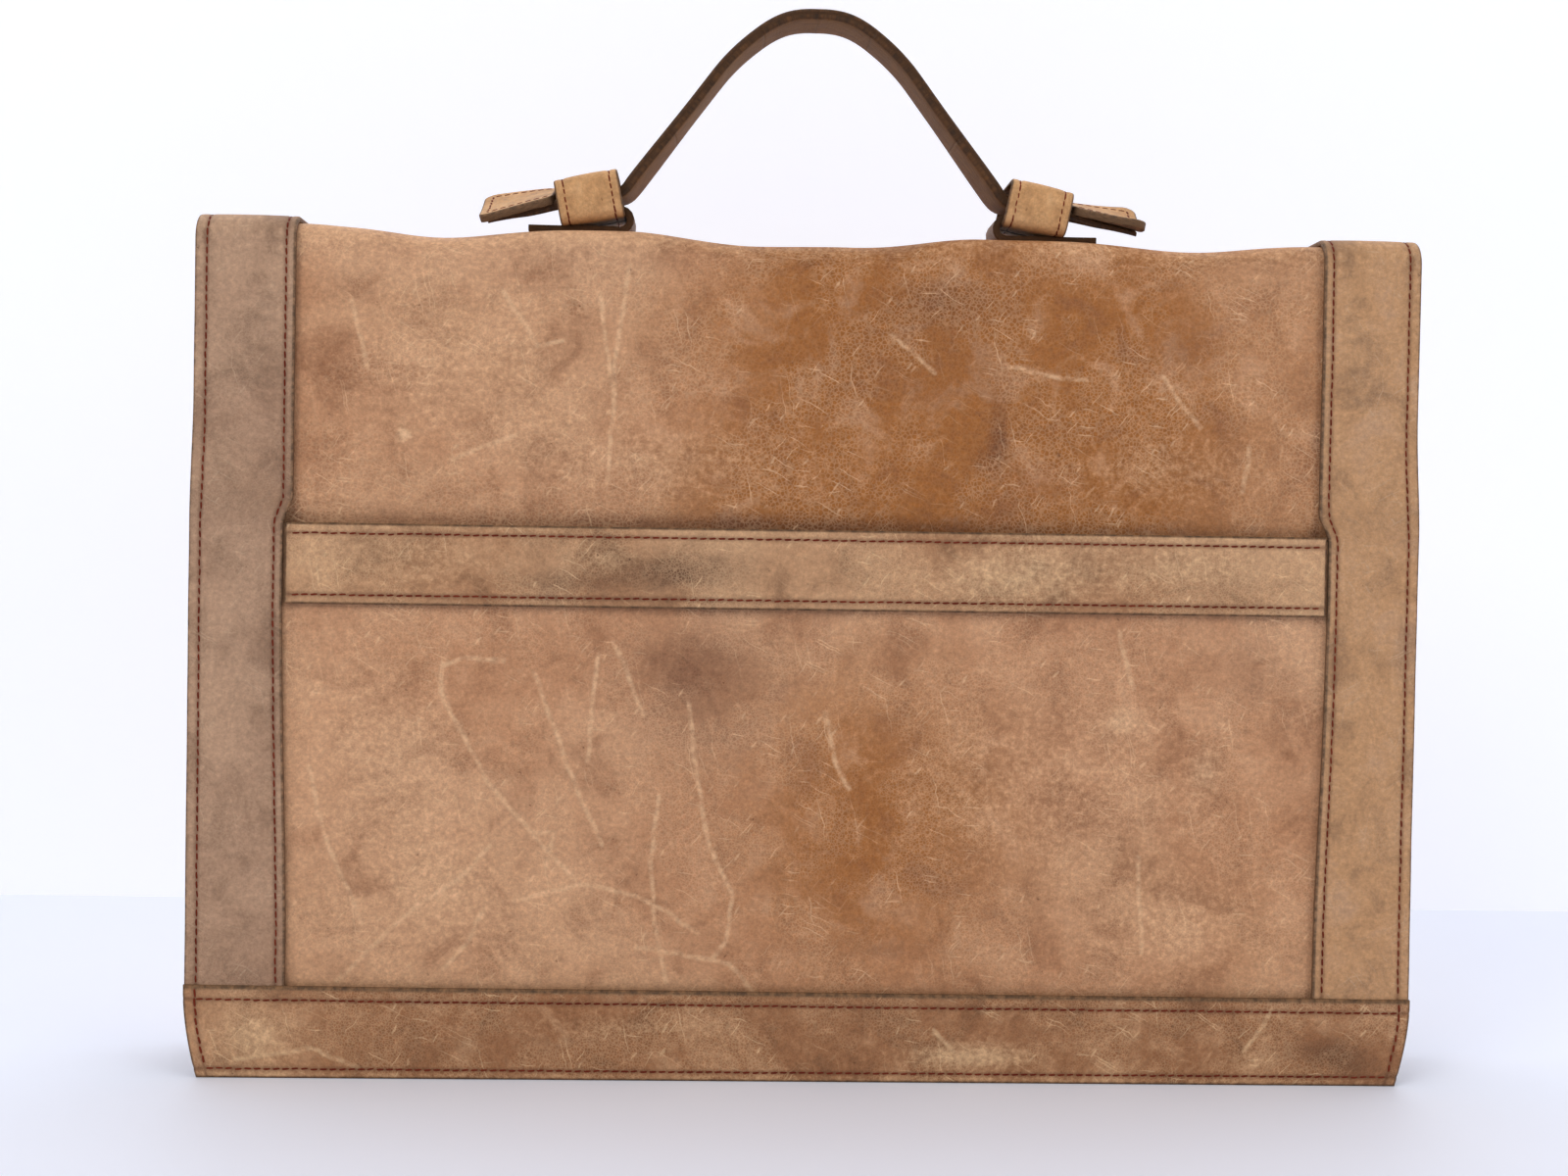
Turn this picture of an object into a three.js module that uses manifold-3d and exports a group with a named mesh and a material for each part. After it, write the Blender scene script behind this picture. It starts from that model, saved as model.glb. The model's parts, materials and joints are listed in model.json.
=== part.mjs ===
// A leather flap-over briefcase, in millimetres, +Z up.
// The slip-pocket side faces -Y. The flap and its press lock are on the +Y side.
// The origin is under the middle of the whole object, on the ground.

import * as THREE from 'three';
import { mergeVertices } from 'three/addons/utils/BufferGeometryUtils.js';
import Module from 'manifold-3d';

const wasm = await Module();
wasm.setup();

// ---- Driving dimensions -------------------------------------------------------------

const CASE_WIDTH = 410;
const CASE_HEIGHT = 286;          // ground to the top of the border strips
const INNER_DEPTH = 36;           // between the back panel and the front panel
const LEATHER = 2;
const GAP = 0.3;                  // clearance between stacked layers
const POCKET_SLIP = 1.5;          // free space inside the slip pocket
const STRIP_WIDTH = 33;
const BOTTOM_BAND_HEIGHT = 29.5;
const CORNER_TAPER = 5;           // how far each bottom corner is cut in
const POCKET_TOP = 184;
const POCKET_BAND_HEIGHT = 26.5;
const SHOULDER_RADIUS = 9;        // outer radius of the strips over the top edges
const FLAP_BOTTOM = 88;
const FLAP_CORNER_RADIUS = 10;
const GUSSET_TOP = 258;
const GUSSET_LEATHER = 1.6;
const GUSSET_FLANGE = 9;
const GUSSET_FOLD = 12;           // how far the gusset folds into the case

const STRAP_WIDTH = 20;
const STRAP_THICKNESS = 4.2;
const STRAP_LEG = 60;             // crown to cuff, measured to the corner of the bend
const STRAP_LEG_ANGLE = 52;       // degrees above horizontal
const STRAP_FOOT_ANGLE = 6;
const STRAP_FOOT_X = 63.5;        // where leg and foot meet, from the middle
const STRAP_FOOT_HEIGHT = 15.1;   // that corner's height above the top panel
const STRAP_END_X = 112;
const STRAP_BEND_RADIUS = 7;
const LINK_GAP = 0.3;
const STRAP_SAMPLING = 3;         // length of the strap's straight facets
const LINK_RELIEF = 0.8;          // how far the upper half of a bending joint is cut back

const CUFF_LENGTH = 22;
const CUFF_HEIGHT = 15.5;
const CUFF_WALL = 2.2;
const CUFF_SIDE_CLEARANCE = 1.1;
const CUFF_CENTRE_X = 76.5;
const CUFF_CENTRE_HEIGHT = 12;
const CUFF_TILT = 11;             // degrees, inner end higher
const ANCHOR_LEATHER = 1.6;
const ANCHOR_END_X = 102;

const TAB_LENGTH = 25;
const TAB_WIDTH = 26;
const TAB_THICKNESS = 2.4;
const TAB_TO_CUFF = 3;

const LOCK_Z = 71;                // height of the middle of the lock case
const LOCK_WIDTH = 42;
const LOCK_HEIGHT = 28;
const BOSS_WIDTH = 16;            // the raised part that passes through the hasp's window
const BOSS_HEIGHT = 9;
const BOSS_RISE = 2.4;            // how far it stands out of the hasp
const BUTTON_RADIUS = 3;
const BUTTON_RISE = 1.6;
const HASP_THICKNESS = 1.5;
const HASP_WIDTH = 34;
const HASP_OVER_FLAP = 25;        // how far the hasp reaches up the flap
const RIVET_X = 10;
const RIVET_SHANK = 1.3;
const RIVET_HEAD = 2.6;
const SCREW_X = 15;
const SCREW_SHANK = 1.2;
const SCREW_HEAD = 2.4;
const HOLE_CLEARANCE = 0.2;
const BUTTON_CLEARANCE = 0.3;
const WINDOW_CLEARANCE = 1.2;

// ---- Levels worked out from them ----------------------------------------------------

const HALF_WIDTH = CASE_WIDTH / 2;
const STRIP_INNER_X = HALF_WIDTH - STRIP_WIDTH;
const LAYER = LEATHER + GAP;

const backInner = -INNER_DEPTH / 2;
const backOuter = backInner - LEATHER;
const pocketInner = backOuter - POCKET_SLIP;
const pocketOuter = pocketInner - LEATHER;
const frontInner = INNER_DEPTH / 2;
const frontOuter = frontInner + LEATHER;
const flapInner = frontOuter + POCKET_SLIP;
const flapOuter = flapInner + LEATHER;
const flapStripOuter = flapOuter + LAYER;
const backStripOuter = backOuter - LAYER;

const shoulderZ = CASE_HEIGHT - SHOULDER_RADIUS;
const panelShoulderRadius = SHOULDER_RADIUS - LAYER;
const backShoulderY = backStripOuter + SHOULDER_RADIUS;
const frontShoulderY = flapStripOuter - SHOULDER_RADIUS;
const topY = (backShoulderY + frontShoulderY) / 2;
const topZ = CASE_HEIGHT - LAYER;

// ---- Materials ----------------------------------------------------------------------

const leatherMaterial = (color) => new THREE.MeshStandardMaterial({ color, roughness: 0.62, metalness: 0 });
const brassMaterial = (color) => new THREE.MeshStandardMaterial({ color, roughness: 0.35, metalness: 1 });

const panelLeather = () => leatherMaterial(0xb18662);
const stripLeather = () => leatherMaterial(0xa5826c);
const bandLeather = () => leatherMaterial(0xa47c5f);
const gussetLeather = () => leatherMaterial(0x9b7557);
const cuffLeather = () => leatherMaterial(0xb38860);
const strapLeather = () => leatherMaterial(0x593e2a);
const brass = () => brassMaterial(0xb08d4a);

// ---- Shape helpers ------------------------------------------------------------------

const X = new THREE.Vector3(1, 0, 0);
const Y = new THREE.Vector3(0, 1, 0);
const Z = new THREE.Vector3(0, 0, 1);
const radians = THREE.MathUtils.degToRad;
const point = (a, b) => new THREE.Vector2(a, b);

const briefcase = new THREE.Group();

function addPiece(name, geometry, material, parent = briefcase) {
  const mesh = new THREE.Mesh(geometry, material);
  mesh.name = name;
  parent.add(mesh);
  return mesh;
}

function extrude(shape, depth, curveSegments = 8) {
  return new THREE.ExtrudeGeometry(shape, { depth, bevelEnabled: false, curveSegments });
}

// Outline drawn in X and Z, made solid from y = low to y = high.
function solidXZ(shape, low, high) {
  const placing = new THREE.Matrix4().makeBasis(X, Z, Y.clone().negate()).setPosition(0, high, 0);
  return extrude(shape, high - low).applyMatrix4(placing);
}

// Outline drawn in Y and Z, made solid from x = low to x = high.
function solidYZ(shape, low, high) {
  const placing = new THREE.Matrix4().makeBasis(Y, Z, X).setPosition(low, 0, 0);
  return extrude(shape, high - low).applyMatrix4(placing);
}

// Outline drawn in X and Y, made solid from z = low to z = high.
function solidXY(shape, low, high) {
  return extrude(shape, high - low).translate(0, 0, low);
}

function rectangle(x0, z0, x1, z1) {
  return new THREE.Shape([point(x0, z0), point(x1, z0), point(x1, z1), point(x0, z1)]);
}

function roundedRectangle(width, height, radius, Kind = THREE.Shape) {
  const a = width / 2 - radius;
  const b = height / 2 - radius;
  const outline = new Kind();
  outline.absarc(a, b, radius, 0, Math.PI / 2);
  outline.absarc(-a, b, radius, Math.PI / 2, Math.PI);
  outline.absarc(-a, -b, radius, Math.PI, Math.PI * 1.5);
  outline.absarc(a, -b, radius, Math.PI * 1.5, Math.PI * 2);
  return outline;
}

// A strip of even thickness along a chain of centre-line points.
function thickLine(points, thickness) {
  const half = thickness / 2;
  const left = [];
  const right = [];
  points.forEach((here, i) => {
    const before = points[Math.max(i - 1, 0)];
    const after = points[Math.min(i + 1, points.length - 1)];
    const into = here.clone().sub(before).normalize();
    const outOf = after.clone().sub(here).normalize();
    const along = into.clone().add(outOf).normalize();
    const stretch = half / Math.max(along.dot(i > 0 ? into : outOf), 0.5);
    const sideways = point(-along.y, along.x).multiplyScalar(stretch);
    left.push(here.clone().add(sideways));
    right.push(here.clone().sub(sideways));
  });
  return new THREE.Shape([...right, ...left.reverse()]);
}

function mirrored(geometry) {
  const loose = geometry.index ? geometry.toNonIndexed() : geometry.clone();
  const copy = loose.scale(-1, 1, 1);
  const positions = copy.attributes.position;
  for (let i = 0; i < positions.count; i += 3) {
    const a = new THREE.Vector3().fromBufferAttribute(positions, i);
    const b = new THREE.Vector3().fromBufferAttribute(positions, i + 1);
    positions.setXYZ(i, b.x, b.y, b.z);
    positions.setXYZ(i + 1, a.x, a.y, a.z);
  }
  return copy;
}

// ---- Boolean helpers ----------------------------------------------------------------

function toSolid(geometry) {
  const bare = geometry.clone();
  bare.deleteAttribute('normal');
  bare.deleteAttribute('uv');
  const merged = mergeVertices(bare, 1e-4);
  const vertProperties = new Float32Array(merged.attributes.position.array);
  const triVerts = new Uint32Array(merged.index.array);
  return new wasm.Manifold(new wasm.Mesh({ numProp: 3, vertProperties, triVerts }));
}

function toGeometry(solid) {
  const { vertProperties, triVerts } = solid.getMesh();
  const geometry = new THREE.BufferGeometry();
  geometry.setAttribute('position', new THREE.BufferAttribute(vertProperties, 3));
  geometry.setIndex(new THREE.BufferAttribute(triVerts, 1));
  return geometry;
}

const cut = (geometry, tools) => toGeometry(
  tools.reduce((solid, tool) => solid.subtract(toSolid(tool)), toSolid(geometry)),
);
const join = (a, b) => toGeometry(toSolid(a).add(toSolid(b)));
const keepInside = (geometry, tool) => toGeometry(toSolid(geometry).intersect(toSolid(tool)));

// A round hole along Y.
function drill(radius, x, z, low, high) {
  return new THREE.CylinderGeometry(radius, radius, high - low, 20).translate(x, (low + high) / 2, z);
}

// A round piece turned about an axis along Y.
function turned(profile, x, z) {
  return new THREE.LatheGeometry(profile, 20).translate(x, 0, z);
}

// ---- The case body: back panel, slip pocket and gussets ---------------------------------

// Front view of a panel: straight sides with cut-in bottom corners.
function panelOutline(top) {
  return new THREE.Shape([
    point(-HALF_WIDTH + CORNER_TAPER, 0),
    point(HALF_WIDTH - CORNER_TAPER, 0),
    point(HALF_WIDTH, BOTTOM_BAND_HEIGHT),
    point(HALF_WIDTH, top),
    point(-HALF_WIDTH, top),
    point(-HALF_WIDTH, BOTTOM_BAND_HEIGHT),
  ]);
}

function bottomBandOutline() {
  return new THREE.Shape([
    point(-HALF_WIDTH + CORNER_TAPER, 0),
    point(HALF_WIDTH - CORNER_TAPER, 0),
    point(HALF_WIDTH, BOTTOM_BAND_HEIGHT),
    point(-HALF_WIDTH, BOTTOM_BAND_HEIGHT),
  ]);
}

function buildBack() {
  const panelTop = shoulderZ - GAP / 2;
  addPiece('back_panel', solidXZ(panelOutline(panelTop), backOuter, backInner), panelLeather());
  addPiece('pocket_panel', solidXZ(panelOutline(POCKET_TOP), pocketOuter, pocketInner), panelLeather());
  const trimOuter = pocketOuter - LAYER;
  const trimInner = pocketOuter - GAP;
  const bandReach = STRIP_INNER_X - GAP;
  const pocketBand = rectangle(-bandReach, POCKET_TOP - POCKET_BAND_HEIGHT, bandReach, POCKET_TOP);
  addPiece('pocket_band', solidXZ(pocketBand, trimOuter, trimInner), bandLeather());
  addPiece('back_bottom_band', solidXZ(bottomBandOutline(), trimOuter, trimInner), bandLeather());

  // Each border strip lies on the back panel above the pocket and steps out over it.
  const stepLow = POCKET_TOP + 1;
  const stepHigh = POCKET_TOP + 7;
  const middle = (a, b) => (a + b) / 2;
  const stripLine = thickLine([
    point(middle(trimOuter, trimInner), BOTTOM_BAND_HEIGHT + GAP),
    point(middle(trimOuter, trimInner), stepLow),
    point(middle(backStripOuter, backOuter - GAP), stepHigh),
    point(middle(backStripOuter, backOuter - GAP), panelTop),
  ], LEATHER);
  const strip = solidYZ(stripLine, STRIP_INNER_X, HALF_WIDTH);
  addPiece('back_strip_right', strip, stripLeather());
  addPiece('back_strip_left', mirrored(strip), stripLeather());
}

// The gussets have flat flanges sewn inside the panel edges and fold in between them.
function buildGussets() {
  const flangeY = INNER_DEPTH / 2 - GAP - GUSSET_LEATHER / 2;
  const flangeEnd = HALF_WIDTH - GAP;
  const foldStart = HALF_WIDTH - GUSSET_FLANGE;
  const foldEnd = foldStart - GUSSET_FOLD;
  const sideLine = thickLine([
    point(flangeEnd, -flangeY),
    point(foldStart, -flangeY),
    point(foldEnd, 0),
    point(foldStart, flangeY),
    point(flangeEnd, flangeY),
  ], GUSSET_LEATHER);
  const caseOutline = solidXZ(panelOutline(CASE_HEIGHT), backInner, frontInner);
  const side = keepInside(solidXY(sideLine, GAP, GUSSET_TOP), caseOutline);
  addPiece('gusset_right', side, gussetLeather());
  addPiece('gusset_left', mirrored(side), gussetLeather());

  const bottomLine = thickLine([
    point(-flangeY, GAP),
    point(-flangeY, GUSSET_FLANGE),
    point(0, GUSSET_FLANGE + GUSSET_FOLD),
    point(flangeY, GUSSET_FLANGE),
    point(flangeY, GAP),
  ], GUSSET_LEATHER);
  const reach = foldEnd - 2 * GUSSET_LEATHER;
  addPiece('gusset_bottom', solidYZ(bottomLine, -reach, reach), gussetLeather());
}

// ---- The top: one sheet bent over both long edges, with its two strips -------------------

function shoulderedOutline(outerRadius) {
  const start = shoulderZ + GAP / 2 - 1e-3;
  const innerRadius = outerRadius - LEATHER;
  const outline = new THREE.Shape();
  outline.moveTo(frontShoulderY + outerRadius, start);
  outline.absarc(frontShoulderY, shoulderZ + GAP / 2, outerRadius, 0, Math.PI / 2);
  outline.absarc(backShoulderY, shoulderZ + GAP / 2, outerRadius, Math.PI / 2, Math.PI);
  outline.lineTo(backShoulderY - outerRadius, start);
  outline.lineTo(backShoulderY - innerRadius, start);
  outline.absarc(backShoulderY, shoulderZ + GAP / 2, innerRadius, Math.PI, Math.PI / 2, true);
  outline.absarc(frontShoulderY, shoulderZ + GAP / 2, innerRadius, Math.PI / 2, 0, true);
  outline.lineTo(frontShoulderY + innerRadius, start);
  return outline;
}

function buildTop() {
  const panel = solidYZ(shoulderedOutline(panelShoulderRadius), -HALF_WIDTH, HALF_WIDTH);
  addPiece('top_panel', panel, panelLeather());
  const strip = solidYZ(shoulderedOutline(SHOULDER_RADIUS), STRIP_INNER_X, HALF_WIDTH);
  addPiece('top_strip_right', strip, stripLeather());
  addPiece('top_strip_left', mirrored(strip), stripLeather());
}

// ---- The flap -----------------------------------------------------------------------

const haspBottom = LOCK_Z - 2;
const haspTop = FLAP_BOTTOM + HASP_OVER_FLAP;
const haspInner = flapStripOuter + GAP;
const haspOuter = haspInner + HASP_THICKNESS;
const bossZ = LOCK_Z + LOCK_HEIGHT / 4;
const rivetZ = haspTop - 7;

// Outline of the flap's lower end, with rounded corners.
function flapOutline(top) {
  const r = FLAP_CORNER_RADIUS;
  const outline = new THREE.Shape();
  outline.moveTo(-HALF_WIDTH, top);
  outline.absarc(-HALF_WIDTH + r, FLAP_BOTTOM + r, r, Math.PI, Math.PI * 1.5);
  outline.absarc(HALF_WIDTH - r, FLAP_BOTTOM + r, r, Math.PI * 1.5, Math.PI * 2);
  outline.lineTo(HALF_WIDTH, top);
  return outline;
}

function buildFlap() {
  const flapTop = shoulderZ - GAP / 2;
  const trimInner = flapOuter + GAP;
  const bandTop = FLAP_BOTTOM + BOTTOM_BAND_HEIGHT;
  const rivetHoles = [-RIVET_X, RIVET_X].map((x) => (
    drill(RIVET_SHANK + HOLE_CLEARANCE, x, rivetZ, flapInner - 1, haspOuter + 1)
  ));
  addPiece('flap_panel', cut(solidXZ(flapOutline(flapTop), flapInner, flapOuter), rivetHoles), panelLeather());
  addPiece('flap_band', cut(solidXZ(flapOutline(bandTop), trimInner, flapStripOuter), rivetHoles), bandLeather());
  const strip = solidXZ(rectangle(STRIP_INNER_X, bandTop + GAP, HALF_WIDTH, flapTop), trimInner, flapStripOuter);
  addPiece('flap_strip_right', strip, stripLeather());
  addPiece('flap_strip_left', mirrored(strip), stripLeather());

  const haspShape = roundedRectangle(HASP_WIDTH, haspTop - haspBottom, 5);
  const hasp = solidXZ(haspShape, haspInner, haspOuter).translate(0, 0, (haspTop + haspBottom) / 2);
  const windowX = BOSS_WIDTH / 2 + WINDOW_CLEARANCE;
  const windowZ = BOSS_HEIGHT / 2 + WINDOW_CLEARANCE;
  const windowShape = rectangle(-windowX, bossZ - windowZ, windowX, bossZ + windowZ);
  const window_ = solidXZ(windowShape, haspInner - 1, haspOuter + 1);
  addPiece('hasp_plate', cut(hasp, [...rivetHoles, window_]), brass());

  const peenedEnd = RIVET_HEAD - 0.6;
  const rivetProfile = [
    point(0, flapInner - 1),
    point(peenedEnd, flapInner - 1),
    point(peenedEnd, flapInner - GAP),
    point(RIVET_SHANK, flapInner - GAP),
    point(RIVET_SHANK, haspOuter + GAP / 2),
    point(RIVET_HEAD, haspOuter + GAP / 2),
    point(RIVET_HEAD - 1, haspOuter + 1),
    point(0, haspOuter + 1.2),
  ];
  addPiece('hasp_rivet_left', turned(rivetProfile, -RIVET_X, rivetZ), brass());
  addPiece('hasp_rivet_right', turned(rivetProfile, RIVET_X, rivetZ), brass());
}

// ---- The front panel and its press lock --------------------------------------------------

const lockInner = frontOuter + GAP;
const lockOuter = haspInner - 0.4;
const bossOuter = haspOuter + BOSS_RISE;
const buttonSeat = lockInner + 1.6;
const buttonInner = buttonSeat + 1.7;
const buttonOuter = bossOuter + BUTTON_RISE;

function buildFront() {
  const backingThickness = 1.5;
  const backingHeight = 16;
  const backingInner = frontInner - GAP - backingThickness;
  const screwTip = lockInner + 3;
  const screwHoles = [-SCREW_X, SCREW_X].map((x) => (
    drill(SCREW_SHANK + HOLE_CLEARANCE, x, LOCK_Z, backingInner - 1, screwTip + GAP)
  ));
  const panel = solidXZ(panelOutline(shoulderZ - 3), frontInner, frontOuter);
  addPiece('front_panel', cut(panel, screwHoles), panelLeather());
  const bandInner = frontOuter + GAP;
  addPiece('front_bottom_band', solidXZ(bottomBandOutline(), bandInner, bandInner + LEATHER), bandLeather());

  const lockShape = roundedRectangle(LOCK_WIDTH, LOCK_HEIGHT, 4);
  const bossShape = roundedRectangle(BOSS_WIDTH, BOSS_HEIGHT, 2);
  const plate = solidXZ(lockShape, lockInner, lockOuter).translate(0, 0, LOCK_Z);
  const boss = solidXZ(bossShape, lockOuter - 1, bossOuter).translate(0, 0, bossZ);
  const buttonBore = drill(BUTTON_RADIUS + BUTTON_CLEARANCE, 0, bossZ, buttonSeat, bossOuter + 1);
  addPiece('lock_case', cut(join(plate, boss), [...screwHoles, buttonBore]), brass());

  const backing = solidXZ(roundedRectangle(LOCK_WIDTH, backingHeight, 3), backingInner, frontInner - GAP);
  addPiece('lock_backing', cut(backing.translate(0, 0, LOCK_Z), screwHoles), brass());
  const screwProfile = [
    point(0, backingInner - 1.2),
    point(SCREW_HEAD, backingInner - 1.2),
    point(SCREW_HEAD, backingInner - GAP / 2),
    point(SCREW_SHANK, backingInner - GAP / 2),
    point(SCREW_SHANK, screwTip),
    point(0, screwTip),
  ];
  addPiece('lock_screw_left', turned(screwProfile, -SCREW_X, LOCK_Z), brass());
  addPiece('lock_screw_right', turned(screwProfile, SCREW_X, LOCK_Z), brass());

  const buttonProfile = [
    point(0, buttonInner),
    point(BUTTON_RADIUS, buttonInner),
    point(BUTTON_RADIUS, buttonOuter - 0.6),
    point(BUTTON_RADIUS - 0.6, buttonOuter),
    point(0, buttonOuter),
  ];
  addPiece('lock_button', turned(buttonProfile, 0, bossZ), brass());
}

// ---- The sliding strap handle -----------------------------------------------------------

// Half of the strap's centre line, from the crest down to the end: runs of even curvature,
// each with the slope it starts and ends at (degrees below horizontal, going outward).
const bendTurn = radians(STRAP_LEG_ANGLE - STRAP_FOOT_ANGLE);
const bendTangent = STRAP_BEND_RADIUS * Math.tan(bendTurn / 2);
const crownReach = STRAP_FOOT_X - STRAP_LEG * Math.cos(radians(STRAP_LEG_ANGLE));
const crownRadius = crownReach / Math.sin(radians(STRAP_LEG_ANGLE));
const crestHeight = STRAP_FOOT_HEIGHT
  + STRAP_LEG * Math.sin(radians(STRAP_LEG_ANGLE))
  + crownRadius * (1 - Math.cos(radians(STRAP_LEG_ANGLE)));
const strapRuns = [
  { length: crownRadius * radians(STRAP_LEG_ANGLE), from: 0, to: STRAP_LEG_ANGLE },
  { length: STRAP_LEG - bendTangent, from: STRAP_LEG_ANGLE, to: STRAP_LEG_ANGLE },
  { length: STRAP_BEND_RADIUS * bendTurn, from: STRAP_LEG_ANGLE, to: STRAP_FOOT_ANGLE },
  { length: STRAP_END_X - STRAP_FOOT_X - bendTangent, from: STRAP_FOOT_ANGLE, to: STRAP_FOOT_ANGLE },
];

function strapPoint(distance) {
  const place = point(0, crestHeight);
  let left = distance;
  for (const run of strapRuns) {
    const length = Math.min(left, run.length);
    const slope = radians(run.from);
    const turn = radians(run.to - run.from) * (length / run.length);
    if (turn === 0) {
      place.add(point(Math.cos(slope) * length, -Math.sin(slope) * length));
    } else {
      const radius = length / turn;
      place.x += radius * (Math.sin(slope + turn) - Math.sin(slope));
      place.y += radius * (Math.cos(slope + turn) - Math.cos(slope));
    }
    left -= length;
    if (left <= 0) break;
  }
  return place;
}

function strapPlace(distance) {
  return distance < 0 ? strapPoint(-distance).multiply(point(-1, 1)) : strapPoint(distance);
}

// A link's two end runs are very short, so that its end faces stand square to the strap.
function strapLink(start, end) {
  const first = start + LINK_GAP / 2;
  const last = end - LINK_GAP / 2;
  const squareEnd = 0.1;
  const count = Math.ceil((end - start) / STRAP_SAMPLING);
  const distances = [first];
  for (let i = 0; i <= count; i += 1) {
    distances.push(THREE.MathUtils.lerp(first + squareEnd, last - squareEnd, i / count));
  }
  distances.push(last);
  return solidXZ(thickLine(distances.map(strapPlace), STRAP_THICKNESS), -STRAP_WIDTH / 2, STRAP_WIDTH / 2);
}

// A wedge across the strap, narrow at its centre line and wide at its top. Two links cut by it
// can flatten towards each other without touching.
function reliefWedge(distance) {
  const here = strapPlace(distance);
  const ahead = strapPlace(distance + 0.5).sub(here).normalize();
  const up = point(-ahead.y, ahead.x);
  const at = (along, height) => here.clone()
    .add(ahead.clone().multiplyScalar(along))
    .add(up.clone().multiplyScalar(height));
  const wedge = new THREE.Shape([
    at(-LINK_GAP / 2, 0),
    at(LINK_GAP / 2, 0),
    at(LINK_GAP / 2 + LINK_RELIEF, STRAP_THICKNESS / 2 + 0.01),
    at(-LINK_GAP / 2 - LINK_RELIEF, STRAP_THICKNESS / 2 + 0.01),
  ]);
  return solidXZ(wedge, -STRAP_WIDTH, STRAP_WIDTH);
}

function buildHandle() {
  const handle = new THREE.Group();
  handle.position.set(0, topY, topZ);
  briefcase.add(handle);

  // The strap is one strip of leather, parted at its bending places.
  const crownEnd = strapRuns[0].length / 3;
  const shoulderEnd = strapRuns[0].length;
  const legEnd = shoulderEnd + strapRuns[1].length + strapRuns[2].length / 2;
  const footEnd = strapRuns.reduce((sum, run) => sum + run.length, 0);
  const wedges = [reliefWedge(-crownEnd), reliefWedge(crownEnd), reliefWedge(shoulderEnd)];
  addPiece('strap_crown', cut(strapLink(-crownEnd, crownEnd), wedges), strapLeather(), handle);
  const halves = [['shoulder', crownEnd, shoulderEnd], ['leg', shoulderEnd, legEnd], ['foot', legEnd, footEnd]];
  for (const [name, start, end] of halves) {
    const link = cut(strapLink(start, end), wedges);
    addPiece(`strap_${name}_right`, link, strapLeather(), handle);
    addPiece(`strap_${name}_left`, mirrored(link), strapLeather(), handle);
  }

  // Stop tab: a wider patch on the strap's end, too wide to pass through the cuff.
  const tabStart = CUFF_CENTRE_X + (CUFF_LENGTH / 2) * Math.cos(radians(CUFF_TILT)) + TAB_TO_CUFF;
  const tab = new THREE.BoxGeometry(TAB_LENGTH, TAB_WIDTH, TAB_THICKNESS);
  const tabMiddle = tabStart + TAB_LENGTH / 2;
  const foot = strapPoint(legEnd + STRAP_BEND_RADIUS);
  const slope = Math.tan(radians(STRAP_FOOT_ANGLE));
  const tabHeight = foot.y - (tabMiddle - foot.x) * slope + (STRAP_THICKNESS + TAB_THICKNESS) / 2 + GAP;
  tab.rotateY(radians(STRAP_FOOT_ANGLE)).translate(tabMiddle, 0, tabHeight);
  addPiece('stop_tab_right', tab, cuffLeather(), handle);
  addPiece('stop_tab_left', mirrored(tab), cuffLeather(), handle);

  // Cuff: a sewn leather ring that the strap slides through.
  const innerWidth = STRAP_WIDTH + 2 * CUFF_SIDE_CLEARANCE;
  const ring = roundedRectangle(innerWidth + 2 * CUFF_WALL, CUFF_HEIGHT, 3);
  ring.holes.push(roundedRectangle(innerWidth, CUFF_HEIGHT - 2 * CUFF_WALL, 1.5, THREE.Path));
  const cuff = solidYZ(ring, -CUFF_LENGTH / 2, CUFF_LENGTH / 2)
    .rotateY(radians(CUFF_TILT))
    .translate(CUFF_CENTRE_X, 0, CUFF_CENTRE_HEIGHT);
  addPiece('handle_cuff_right', cuff, cuffLeather(), handle);
  addPiece('handle_cuff_left', mirrored(cuff), cuffLeather(), handle);

  // Anchor: a strip sewn to the top panel that turns back through the cuff and holds it.
  const anchorGap = 0.4;
  const lowZ = GAP + ANCHOR_LEATHER / 2;
  const tilt = Math.tan(radians(CUFF_TILT));
  const floor = (x) => (
    CUFF_CENTRE_HEIGHT - (x - CUFF_CENTRE_X) * tilt
    - (CUFF_HEIGHT / 2 - CUFF_WALL - anchorGap - ANCHOR_LEATHER / 2) / Math.cos(radians(CUFF_TILT))
  );
  const turnX = CUFF_CENTRE_X - CUFF_LENGTH / 2;
  const highZ = floor(turnX);
  const turnRadius = (highZ - lowZ) / 2;
  const anchorLine = [point(ANCHOR_END_X, lowZ)];
  const turnSteps = 8;
  for (let i = 0; i <= turnSteps; i += 1) {
    const angle = Math.PI * (i / turnSteps);
    anchorLine.push(point(turnX - turnRadius * Math.sin(angle), lowZ + turnRadius * (1 - Math.cos(angle))));
  }
  const innerEnd = CUFF_CENTRE_X + CUFF_LENGTH / 2 - 2;
  anchorLine.push(point(innerEnd, floor(innerEnd)));
  const anchorHalfWidth = STRAP_WIDTH / 2 - 1;
  const anchor = solidXZ(thickLine(anchorLine, ANCHOR_LEATHER), -anchorHalfWidth, anchorHalfWidth);
  addPiece('handle_anchor_right', anchor, strapLeather(), handle);
  addPiece('handle_anchor_left', mirrored(anchor), strapLeather(), handle);
}

buildBack();
buildGussets();
buildTop();
buildFlap();
buildFront();
buildHandle();

// Centre the whole object in Y: the lock button reaches furthest forward.
const backReach = pocketOuter - LAYER;
briefcase.position.y = -(buttonOuter + backReach) / 2;

export default briefcase;
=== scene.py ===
import json
import math

import bpy
import bmesh
import numpy as np
from mathutils import Matrix, Vector


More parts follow.
